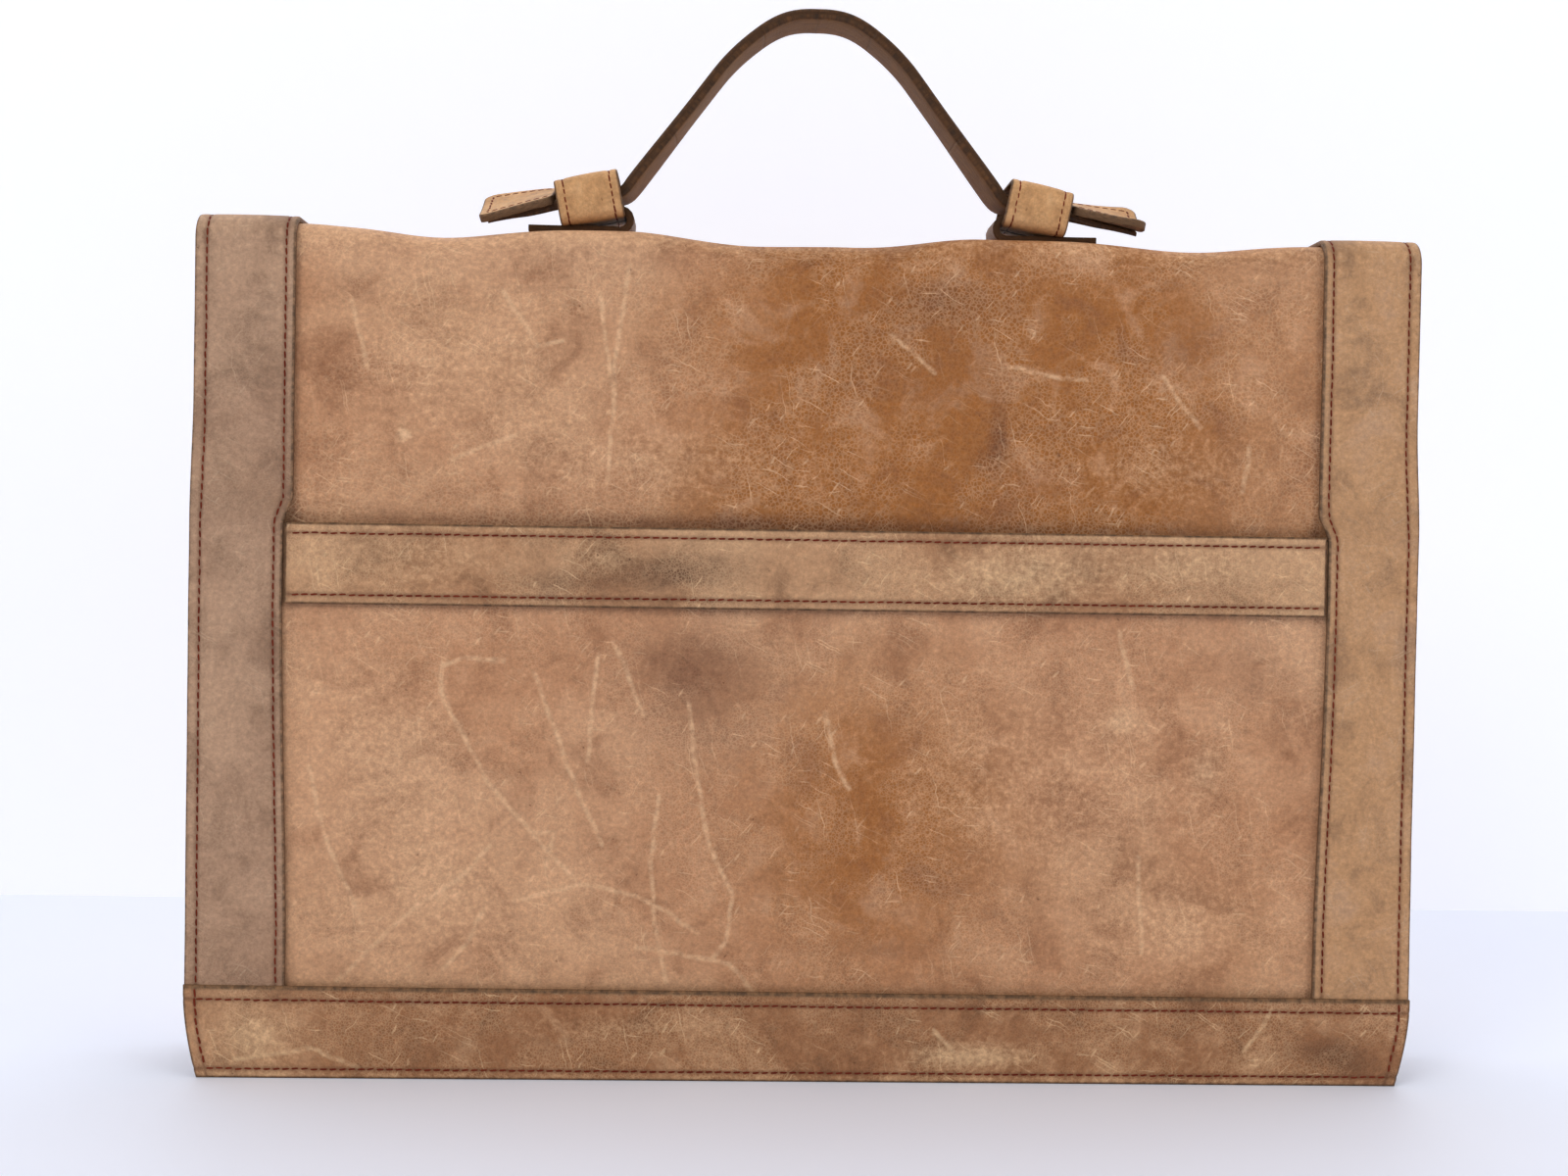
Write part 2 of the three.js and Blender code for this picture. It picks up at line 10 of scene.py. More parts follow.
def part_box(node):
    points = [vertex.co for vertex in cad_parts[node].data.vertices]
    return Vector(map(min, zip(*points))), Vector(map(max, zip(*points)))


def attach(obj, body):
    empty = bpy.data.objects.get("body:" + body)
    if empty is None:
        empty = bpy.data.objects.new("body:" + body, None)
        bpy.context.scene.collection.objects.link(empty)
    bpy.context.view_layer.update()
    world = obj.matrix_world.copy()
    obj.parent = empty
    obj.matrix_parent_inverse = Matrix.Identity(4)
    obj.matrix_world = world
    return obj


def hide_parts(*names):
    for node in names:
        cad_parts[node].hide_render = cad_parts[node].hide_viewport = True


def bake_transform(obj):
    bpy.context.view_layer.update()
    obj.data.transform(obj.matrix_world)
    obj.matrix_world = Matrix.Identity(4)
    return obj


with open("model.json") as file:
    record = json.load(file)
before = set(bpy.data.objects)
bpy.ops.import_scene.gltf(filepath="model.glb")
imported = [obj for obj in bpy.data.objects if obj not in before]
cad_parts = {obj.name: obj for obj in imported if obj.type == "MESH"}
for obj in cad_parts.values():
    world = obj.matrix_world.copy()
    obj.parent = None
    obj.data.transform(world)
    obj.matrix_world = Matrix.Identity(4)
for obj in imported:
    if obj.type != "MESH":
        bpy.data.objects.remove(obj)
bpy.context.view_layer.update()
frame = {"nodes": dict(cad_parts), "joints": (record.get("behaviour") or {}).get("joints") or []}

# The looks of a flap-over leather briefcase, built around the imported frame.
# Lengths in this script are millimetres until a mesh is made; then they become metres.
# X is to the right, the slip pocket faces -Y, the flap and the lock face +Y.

MM = 0.001
random = np.random.default_rng(20)


# ---- Sizes read from the frame -------------------------------------------------------------

def low(node):
    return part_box(node)[0] / MM


def high(node):
    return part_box(node)[1] / MM


def pivot(joint_name):
    found = [j for j in frame["joints"] if j["name"] == joint_name]
    return Vector(found[0]["pos_m"]) / MM


HALF_WIDTH = high("back_panel").x
LEATHER = high("back_panel").y - low("back_panel").y
BACK_Y = low("back_panel").y
POCKET_Y = low("pocket_panel").y
TRIM_Y = low("back_bottom_band").y
BACK_STRIP_LIFT = BACK_Y - low("top_strip_right").y
POCKET_TOP = high("pocket_panel").z
POCKET_BAND_LOW = low("pocket_band").z
BOTTOM_BAND_TOP = high("back_bottom_band").z
STRIP_LOW = low("back_strip_right").z
STRIP_INNER = low("top_strip_right").x
SHOULDER_Z = low("top_panel").z
TOP_Z = high("top_panel").z
FLAP_Y = high("flap_panel").y
FLAP_BOTTOM = low("flap_panel").z
FLAP_BAND_TOP = high("flap_band").z
FRONT_Y = high("front_panel").y
FRONT_TOP = high("front_panel").z
CORNER_CUT = 4.6
CORNER_CUT_HEIGHT = 27.0
FLAP_CORNER = 10.0

# The line that the main leather follows, measured from the ground up the back.
SHOULDER_RADIUS = TOP_Z - SHOULDER_Z
SHOULDER_ARC = SHOULDER_RADIUS * math.pi / 2
TOP_LENGTH = FLAP_Y - BACK_Y - 2 * SHOULDER_RADIUS
TOP_START = SHOULDER_Z + SHOULDER_ARC
TOP_MIDDLE = TOP_START + TOP_LENGTH / 2
TOP_END = TOP_START + TOP_LENGTH
FLAP_START = TOP_END + SHOULDER_ARC
FLAP_END = FLAP_START + SHOULDER_Z - FLAP_BOTTOM
FLAP_BAND_START = FLAP_END - (FLAP_BAND_TOP - FLAP_BOTTOM)
HANDLE_Y = pivot("shoulder_left_bend").y
ANCHOR_X = 82.0

# Stitch lines, measured in from the edge they follow.
OUTER_STITCH = 4.0
INNER_STITCH = 3.0
BAND_STITCH = 3.1
STITCH_PITCH = 3.1

# The bottom band lies over the ends of the border strips.
BAND_STANDS_PROUD = 1.5

# The ways out of the case on its two broad sides.
POCKET_SIDE = (0, -1, 0)
FLAP_SIDE = (0, 1, 0)

# Spacing of the mesh rows, and how far in a cut border is rounded off.
PANEL_STEP = 3.0
BAND_STEP = 2.5
PANEL_BORDER = 0.7
BAND_BORDER = 0.9
BEND_ROWS = 9
BEND_ROW_REACH = 0.6
CORNER_ROWS = (0.04, 0.12, 0.25, 0.5, 0.8)


# ---- Numbers along lines and surfaces ------------------------------------------------------------

def smooth(value, start, end):
    t = np.clip((value - start) / (end - start), 0.0, 1.0)
    return t * t * (3.0 - 2.0 * t)


def bump(distance, reach):
    return np.exp(-(distance / reach) ** 2)


def ripples(seed, longest, shortest, count=7):
    """A gentle random relief: a sum of sine waves, as a function of two lengths."""
    draw = np.random.default_rng(seed)
    lengths = np.geomspace(longest, shortest, count)
    angles = draw.uniform(0, math.pi, count)
    phases = draw.uniform(0, 2 * math.pi, count)

    def relief(u, v):
        total = 0.0
        for length, angle, phase in zip(lengths, angles, phases):
            along = u * math.cos(angle) + v * math.sin(angle)
            total = total + np.sin(2 * math.pi * along / length + phase) * length / longest
        return total / 2.0

    return relief


def grid_line(start, end, step=PANEL_STEP, edge=PANEL_BORDER, fine=(), fine_reach=1.2):
    """Places along one side of a grid: even steps, close rows in from both ends and around fine lines."""
    count = max(int(math.ceil((end - start) / step)), 2)
    places = list(np.linspace(start, end, count + 1))
    for share in (0.1, 0.3, 0.6, 1.0):
        places += [start + edge * share, end - edge * share]
    for line in fine:
        places += [line + offset * fine_reach for offset in (-1.0, -0.5, 0.0, 0.5, 1.0)]
    places = np.unique(np.round([p for p in places if start <= p <= end], 3))
    keep = [places[0]]
    for place in places[1:]:
        if place - keep[-1] > 0.05:
            keep.append(place)
    keep[-1] = places[-1]
    return np.array(keep)


def band_line(start, end, fine=(), fine_reach=1.2):
    return grid_line(start, end, BAND_STEP, BAND_BORDER, fine, fine_reach)


def bend_rows(start, end):
    """Places of the close rows where the main leather bends."""
    return tuple(np.linspace(start, end, BEND_ROWS))


def half_width_at(z):
    """The case narrows in a soft curve below the bottom band's top edge."""
    return HALF_WIDTH - CORNER_CUT * np.clip(1.0 - z / CORNER_CUT_HEIGHT, 0.0, 1.0) ** 1.7


def wrap_line(v):
    """Point (y, z) and outward direction of the main leather at a length v from the ground."""
    turned_back = np.clip((v - SHOULDER_Z) / SHOULDER_RADIUS, 0, math.pi / 2)
    turned_front = np.clip((v - TOP_END) / SHOULDER_RADIUS, 0, math.pi / 2)
    y = (
        BACK_Y
        + SHOULDER_RADIUS * (1 - np.cos(turned_back))
        + np.clip(v - TOP_START, 0, TOP_LENGTH)
        + SHOULDER_RADIUS * np.sin(turned_front)
    )
    z = (
        np.minimum(v, SHOULDER_Z)
        + SHOULDER_RADIUS * np.sin(turned_back)
        - SHOULDER_RADIUS * (1 - np.cos(turned_front))
        - np.maximum(v - FLAP_START, 0)
    )
    angle = turned_back + turned_front
    return y, z, -np.cos(angle), np.sin(angle)


back_relief = ripples(3, 160, 30)
flap_relief = ripples(5, 190, 36)
top_relief = ripples(8, 90, 22)


def back_swell(x, z):
    """How far every layer of the back stands out from flat."""
    belly = 1.5 * np.cos(math.pi * x / (2 * HALF_WIDTH)) * np.sin(math.pi * np.clip(z / SHOULDER_Z, 0, 1))
    calm = smooth(z, 0, 40) * (1 - smooth(z, SHOULDER_Z - 45, SHOULDER_Z - 8))
    return belly + 0.45 * calm * back_relief(x, z)


def front_swell(x, z):
    belly = 1.1 * np.cos(math.pi * x / (2 * HALF_WIDTH)) * np.sin(math.pi * np.clip(z / SHOULDER_Z, 0, 1))
    return belly


def flap_swell(x, z):
    hang = smooth(SHOULDER_Z - z, 4, 50)
    return front_swell(x, z) + 0.35 * hang * (1.0 + flap_relief(x, z))


def pocket_gape(x, z):
    """The pocket's mouth stands open a little in the middle."""
    return 0.9 * np.cos(math.pi * np.clip(x / 350, -0.5, 0.5)) * bump(POCKET_TOP - z, 38)


def top_sag(x):
    """The top sinks between the handle's anchors and beyond them, and is pulled up at the anchors."""
    between = 3.7 * (1 - smooth(np.abs(x + 3), 16, 60))
    left = 3.4 * bump(x + 126, 24)
    right = 2.5 * bump(x - 128, 22)
    beside_strips = 1 - smooth(np.abs(x), STRIP_INNER - 16, STRIP_INNER - 2)
    return (between + left + right) * beside_strips


def place_wrap(x, v, lift):
    """The main leather's surface, or a layer lying the given lift above it."""
    y, z, out_y, out_z = wrap_line(v)
    on_top = smooth(v, SHOULDER_Z - 6, TOP_START - 3) * (1 - smooth(v, TOP_END + 3, FLAP_START + 6))
    on_back = 1 - smooth(v, SHOULDER_Z - 10, SHOULDER_Z)
    on_flap = smooth(v, FLAP_START, FLAP_START + 10)
    out = lift + on_back * back_swell(x, z) + on_flap * flap_swell(x, z)
    loose = 1 - smooth(np.abs(x), STRIP_INNER - 12, STRIP_INNER - 2)
    beside_anchor = 1 - 0.9 * bump(np.abs(x) - ANCHOR_X, 20)
    sink = on_top * (top_sag(x) + 0.3 * loose * beside_anchor * (1 - top_relief(x, v)))
    return np.stack([x + 0 * v, y + out_y * out, z + out_z * out - sink], axis=-1)


# ---- Sheets of leather -------------------------------------------------------------------------

# A cut border drops by this share of its width, shows its raw edge over a little more than its
# width, and stays at least this thick.
BORDER_DROP = 0.8
BORDER_WORN = 1.3
THINNEST_BORDER = 0.3

# The underside takes its patterns from another part of the hide.
UNDERSIDE_AT = [0, 0, 50]


def mesh_object(name, points, faces, attributes=None):
    """A mesh object from points in millimetres, smooth shaded, faces pointing out."""
    mesh = bpy.data.meshes.new(name)
    mesh.from_pydata((np.asarray(points) * MM).tolist(), [], faces)
    for key, values in (attributes or {}).items():
        values = np.asarray(values, np.float32)
        kind = "FLOAT_VECTOR" if values.ndim == 2 else "FLOAT"
        attribute = mesh.attributes.new(key, kind, "POINT")
        attribute.data.foreach_set("vector" if values.ndim == 2 else "value", values.ravel())
    mesh.update()
    made = bpy.data.objects.new(name, mesh)
    bpy.context.scene.collection.objects.link(made)
    shaped = bmesh.new()
    shaped.from_mesh(mesh)
    bmesh.ops.recalc_face_normals(shaped, faces=shaped.faces)
    shaped.to_mesh(mesh)
    shaped.free()
    mesh.polygons.foreach_set("use_smooth", [True] * len(mesh.polygons))
    return made


def grid_faces(rows, columns, first=0, flip=False, closed=False):
    """Quads of a grid of points stored row by row. A closed grid joins its last column to its first."""
    faces = []
    last = columns if closed else columns - 1
    for r in range(rows - 1):
        for c in range(last):
            a = first + r * columns + c
            b = first + r * columns + (c + 1) % columns
            quad = (a, b, b + columns, a + columns)
            faces.append(quad[::-1] if flip else quad)
    return faces


def surface_normals(points, outward):
    """Unit normals of a grid of points, on the side that the outward direction points to."""
    along_u = np.gradient(points, axis=1)
    along_v = np.gradient(points, axis=0)
    normals = np.cross(along_u, along_v)
    normals /= np.maximum(np.linalg.norm(normals, axis=-1, keepdims=True), 1e-9)
    middle = normals[normals.shape[0] // 2, normals.shape[1] // 2]
    return normals if np.dot(middle, outward) > 0 else -normals


def sheet(name, us, vs, place, outward, thickness=LEATHER, edge=PANEL_BORDER, joins=(), bevels=None,
          paint=None, seams=()):
    """A closed sheet of leather. place(u, v) gives its outer surface and outward points out of it
    in the middle. Its borders are rounded off, except those named in joins ("v0" or "v1"), and
    bevels gives a border its own width. seams holds the stitch lines, such as ("v", 3.1)."""
    u, v = np.meshgrid(us, vs)
    outer = place(u, v)
    normals = surface_normals(outer, np.array(outward, float))
    to_borders = {"u0": u - us[0], "u1": us[-1] - u, "v0": v - vs[0], "v1": vs[-1] - v}
    drop = 0 * u
    worn = 0 * u
    for border, to_border in to_borders.items():
        if border in joins:
            continue
        width = (bevels or {}).get(border, edge)
        share = np.clip(1 - to_border / width, 0, 1)
        drop = np.maximum(drop, BORDER_DROP * width * (1 - np.sqrt(np.maximum(1 - share ** 2, 0))))
        worn = np.maximum(worn, np.clip(1 - to_border / (width * BORDER_WORN), 0, 1))
    top = outer - normals * drop[..., None]
    under = outer - normals * np.maximum(thickness - 0.3 * drop, drop + THINNEST_BORDER)[..., None]
    rows, columns = u.shape
    count = rows * columns
    points = np.concatenate([top.reshape(-1, 3), under.reshape(-1, 3)])
    faces = grid_faces(rows, columns) + grid_faces(rows, columns, count, flip=True)
    rim = (
        [(0, c) for c in range(columns)]
        + [(r, columns - 1) for r in range(1, rows)]
        + [(rows - 1, c) for c in range(columns - 2, -1, -1)]
        + [(r, 0) for r in range(rows - 2, 0, -1)]
    )
    for (r0, c0), (r1, c1) in zip(rim, rim[1:] + rim[:1]):
        a = r0 * columns + c0
        b = r1 * columns + c1
        faces.append((b, a, a + count, b + count))
    at = np.stack([u, v, 0 * u], axis=-1).reshape(-1, 3)
    attributes = {
        "leather_at": np.concatenate([at, at + UNDERSIDE_AT]),
        "cut_edge": np.concatenate([worn.ravel(), worn.ravel()]),
        "flesh_side": np.concatenate([np.zeros(count), np.ones(count)]),
    }
    seam = 0 * u
    for direction, line in seams:
        seam = np.maximum(seam, bump((u if direction == "u" else v) - line, 0.75))
    looks = {"seam": seam, "stain": 0 * u, "scuff": 0 * u, "amber": 0 * u}
    if paint:
        looks.update(paint(u, v))
    for key, values in looks.items():
        attributes[key] = np.concatenate([(values + 0 * u).ravel(), 0 * u.ravel()])
    return mesh_object(name, points, faces, attributes)


def groove(distance, depth=0.35, reach=0.6):
    return -depth * bump(distance, reach)


# ---- Stitches -----------------------------------------------------------------------------------

def stitch_shape():
    """One stitch: a short plump thread, along X, standing up along Z."""
    rings = 5
    around = 8
    half_length = 1.78
    half_width = 0.44
    half_height = 0.4
    points = []
    for i in range(rings):
        t = -1 + 2 * i / (rings - 1)
        plump = 0.1 + 0.9 * math.sqrt(max(1 - t ** 4, 0))
        for k in range(around):
            angle = 2 * math.pi * k / around
            points.append((
                t * half_length,
                half_width * plump * math.cos(angle),
                half_height * plump * math.sin(angle) - 0.2 * t * t,
            ))
    faces = grid_faces(rings, around, closed=True)
    faces.append(tuple(range(around))[::-1])
    faces.append(tuple((rings - 1) * around + k for k in range(around)))
    return np.array(points), faces


def stitch_row(place, line, outward, pitch=STITCH_PITCH, sink=0.12, jitter=0.1):
    """Where the stitches of one row lie: centres, directions and normals along a chain of (u, v) points."""
    line = np.array(line, float)
    fine = []
    for a, b in zip(line[:-1], line[1:]):
        steps = max(int(np.linalg.norm(b - a) / 1.0), 1)
        fine += [a + (b - a) * i / steps for i in range(steps)]
    fine = np.array(fine + [line[-1]])
    points = place(fine[:, 0], fine[:, 1])
    lengths = np.concatenate([[0], np.cumsum(np.linalg.norm(np.diff(points, axis=0), axis=1))])
    count = max(int(lengths[-1] / pitch), 1)
    middles = (np.arange(count) + 0.5) * lengths[-1] / count
    u = np.interp(middles, lengths, fine[:, 0])
    v = np.interp(middles, lengths, fine[:, 1])
    small = 0.2
    slant = 0.12
    along_u = place(u + small, v) - place(u - small, v)
    along_v = place(u, v + small) - place(u, v - small)
    normals = np.cross(along_u, along_v)
    normals /= np.linalg.norm(normals, axis=1, keepdims=True)
    middle = len(normals) // 2
    if np.dot(normals[middle], np.array(outward, float)) < 0:
        normals = -normals
    ahead = np.interp(middles + 1, lengths, np.arange(len(fine)))
    behind = np.interp(middles - 1, lengths, np.arange(len(fine)))
    index = np.arange(len(fine))
    axis = np.stack([
        np.interp(ahead, index, points[:, k]) - np.interp(behind, index, points[:, k]) for k in range(3)
    ], axis=1)
    axis -= normals * np.sum(axis * normals, axis=1, keepdims=True)
    axis /= np.linalg.norm(axis, axis=1, keepdims=True)
    across = np.cross(normals, axis)
    lean = random.normal(0, 0.06, count)[:, None]
    shift = random.normal(0, jitter, count)[:, None]
    centres = place(u, v) - normals * sink + across * shift
    axis = axis + across * (lean + slant)
    axis /= np.linalg.norm(axis, axis=1, keepdims=True)
    return centres, axis, normals


def thread_object(name, rows, scale=1.0):
    """All the stitches of several rows as one object."""
    shape, shape_faces = stitch_shape()
    shape = shape * scale
    points = []
    faces = []
    at = []
    for centres, axes, normals in rows:
        for centre, axis, normal in zip(centres, axes, normals):
            first = len(points) * len(shape)
            side = np.cross(normal, axis)
            basis = np.stack([axis, side, normal])
            points.append(centre + shape @ basis)
            at.append(np.repeat([centre], len(shape), axis=0) + shape)
            faces += [tuple(first + i for i in face) for face in shape_faces]
    return mesh_object(name, np.concatenate(points), faces, {"leather_at": np.concatenate(at)})


# ---- Materials ----------------------------------------------------------------------------------

class Graph:
    """Short names for building one material's shader nodes."""

    def __init__(self, name):
        self.material = bpy.data.materials.new(name)
        self.material.use_nodes = True
        self.tree = self.material.node_tree
        self.tree.nodes.clear()

    def node(self, kind, inputs=None, **settings):
        made = self.tree.nodes.new(kind)
        for key, value in settings.items():
            setattr(made, key, value)
        for key, value in (inputs or {}).items():
            if isinstance(value, bpy.types.NodeSocket):
                self.tree.links.new(value, made.inputs[key])
            else:
                made.inputs[key].default_value = value
        return made

    def attribute(self, name):
        return self.node("ShaderNodeAttribute", attribute_name=name)

    def math(self, operation, a, b=0.0, clamp=False):
        return self.node("ShaderNodeMath", {0: a, 1: b}, operation=operation, use_clamp=clamp).outputs[0]

    def vector(self, operation, a, b=(0, 0, 0)):
        return self.node("ShaderNodeVectorMath", {0: a, 1: b}, operation=operation).outputs[0]

    def times(self, vector, factor):
        inputs = {0: vector, "Scale": factor}
        return self.node("ShaderNodeVectorMath", inputs, operation="SCALE").outputs[0]

    def scaled(self, at, size, angle=0.0):
        turned = at
        if angle:
            turned = self.node(
                "ShaderNodeVectorRotate", {"Vector": at, "Angle": angle}, rotation_type="Z_AXIS"
            ).outputs[0]
        return self.vector("DIVIDE", turned, size)

    def noise(self, at, size, detail=4.0, roughness=0.55, distortion=0.0, angle=0.0):
        sizes = size if isinstance(size, tuple) else (size, size, size)
        inputs = {
            "Vector": self.scaled(at, sizes, angle),
            "Scale": 1.0,
            "Detail": detail,
            "Roughness": roughness,
            "Distortion": distortion,
        }
        return self.node("ShaderNodeTexNoise", inputs).outputs[0]

    def cell_edges(self, at, size):
        inputs = {"Vector": self.scaled(at, (size, size, size)), "Scale": 1.0}
        return self.node("ShaderNodeTexVoronoi", inputs, feature="DISTANCE_TO_EDGE").outputs["Distance"]

    def between(self, value, start, end, low_value=0.0, high_value=1.0):
        inputs = {0: value, 1: start, 2: end, 3: low_value, 4: high_value}
        return self.node("ShaderNodeMapRange", inputs, interpolation_type="SMOOTHSTEP").outputs[0]

    def mix(self, factor, a, b, blend="MIX"):
        made = self.node("ShaderNodeMix", data_type="RGBA", blend_type=blend)
        for index, value in ((0, factor), (6, a), (7, b)):
            if isinstance(value, bpy.types.NodeSocket):
                self.tree.links.new(value, made.inputs[index])
            else:
                made.inputs[index].default_value = value
        return made.outputs[2]

    def segment_distance(self, at, a, b):
        """Distance from a point to the straight line between a and b, in millimetres."""
        a = Vector((a[0], a[1], 0))
        b = Vector((b[0], b[1], 0))
        span = b - a
        from_a = self.vector("SUBTRACT", at, a)
        dot = self.node("ShaderNodeVectorMath", {0: from_a, 1: span}, operation="DOT_PRODUCT")
        share = self.math("DIVIDE", dot.outputs["Value"], span.length_squared, clamp=True)
        away = self.vector("SUBTRACT", from_a, self.times(span, share))
        return self.node("ShaderNodeVectorMath", {0: away}, operation="LENGTH").outputs["Value"]

    def bump(self, height, strength, distance):
        inputs = {"Height": height, "Strength": strength, "Distance": distance * MM}
        return self.node("ShaderNodeBump", inputs).outputs[0]

    def finish(self, **inputs):
        shader = self.node("ShaderNodeBsdfPrincipled", inputs)
        output = self.node("ShaderNodeOutputMaterial")
        self.tree.links.new(shader.outputs[0], output.inputs[0])
        return self.material


def colour(red, green, blue):
    """A colour given as it looks on a screen (0 to 255), as the shader needs it."""
    parts = [c / 255 for c in (red, green, blue)]
    linear = [c / 12.92 if c <= 0.04045 else ((c + 0.055) / 1.055) ** 2.4 for c in parts]
    return (*linear, 1.0)


def wavy(g, at, size, reach):
    """The same place, shifted a little, so that straight marks drawn there become uneven."""
    wobble = g.node("ShaderNodeTexNoise", {"Vector": g.scaled(at, (size, size, size)), "Scale": 1.0})
    shift = g.vector("SUBTRACT", wobble.outputs[1], (0.5, 0.5, 0.5))
    return g.vector("ADD", at, g.times(shift, reach))


def long_scratches(g, at, scratches, width):
    """1 on the given chains of points, 0 away from them, fainter where a real scratch skips."""
    flat = g.vector("MULTIPLY", wavy(g, at, 9.0, 2.2), (1.0, 1.0, 0.0))
    nearest = None
    for chain in scratches:
        for a, b in zip(chain[:-1], chain[1:]):
            distance = g.segment_distance(flat, a, b)
            nearest = distance if nearest is None else g.math("MINIMUM", nearest, distance)
    line = g.between(nearest, width, width * 0.1)
    skips = g.between(g.noise(at, 4.0, 6.0, 0.75), 0.4, 0.6, 0.3, 1.0)
    return g.math("MULTIPLY", line, skips)


def short_scratches(g, at, angle, length, width, share):
    """Scattered short scratches that all run about the same way: thin cores of long narrow cells."""
    core = 0.3
    cell = (length / (2 * core), width / (2 * core), 1.0)
    inputs = {"Vector": g.scaled(at, cell, angle), "Scale": 1.0}
    cells = g.node("ShaderNodeTexVoronoi", inputs, feature="F1", voronoi_dimensions="2D")
    inside = g.between(cells.outputs["Distance"], core, core * 0.5)
    lottery = g.node("ShaderNodeSeparateColor", {"Color": cells.outputs["Color"]}).outputs[0]
    chosen = g.math("LESS_THAN", lottery, share)
    return g.math("MULTIPLY", inside, chosen)


LONG_SCRATCH_WIDTH = 1.3
# Colour of the stitch lines on the leather: partly the thread's stain, partly painted shade in the stitch
# groove.
STITCH_STAIN_AND_SHADE = colour(92, 54, 34)

# Scattered short scratches: angle in radians, length, width and the share of cells that hold one.
SHORT_SCRATCHES = (
    (0.5, 13.0, 0.45, 0.045),
    (-0.9, 8.0, 0.45, 0.035),
    (1.35, 17.0, 0.45, 0.035),
    (0.1, 7.0, 0.55, 0.035),
    (2.2, 4.0, 0.9, 0.035),
)


def tanned_tone(g, at, mottle, amber, base, deep, pale, honey):
    """The leather's own colour: broad clouds, honey-coloured areas, mottling and darker patches."""
    broad = g.noise(at, 95.0, 3.0, 0.5, 0.4)
    patches = g.noise(at, (44.0, 26.0, 40.0), 5.0, 0.6, 0.9)
    tone = g.mix(g.between(broad, 0.38, 0.62), colour(*base), colour(*pale))
    honeyed = g.math("ADD", amber, g.between(broad, 0.3, 0.7, -0.15, 0.15))
    tone = g.mix(g.between(honeyed, 0.0, 1.0), tone, colour(*honey))
    tone = g.mix(g.between(mottle, 0.48, 0.7, 0.0, 0.5), tone, colour(*pale))
    tone = g.mix(g.between(mottle, 0.5, 0.3, 0.0, 0.5), tone, colour(*deep))
    return g.mix(g.between(patches, 0.44, 0.28, 0.0, 0.4), tone, colour(*deep))


def scratched_tone(g, at, tone, light, pebbles, wear, scratches):
    """Pale scratches, and the pale tops of the grain where it is rubbed."""
    uneven = wavy(g, at, 7.0, 3.0)
    fine_marks = None
    for mark in SHORT_SCRATCHES:
        more = short_scratches(g, uneven, *mark)
        fine_marks = more if fine_marks is None else g.math("MAXIMUM", fine_marks, more)
    worn_places = g.between(g.noise(at, 30.0, 5.0, 0.6), 0.42, 0.56, 0.25, 1.0)
    marks = g.math("MULTIPLY", g.math("MULTIPLY", fine_marks, worn_places), wear)
    if scratches:
        marks = g.math("MAXIMUM", marks, long_scratches(g, at, scratches, LONG_SCRATCH_WIDTH))
    tone = g.mix(g.math("MULTIPLY", marks, 0.68), tone, colour(*light))
    rubbed_grain = g.math("MULTIPLY", g.between(pebbles, 0.2, 0.02), worn_places)
    return g.mix(g.math("MULTIPLY", rubbed_grain, 0.35 * wear), tone, colour(*light))


def shade(parts, share):
    """A screen colour made darker or lighter."""
    return colour(*(min(part * share, 255) for part in parts))


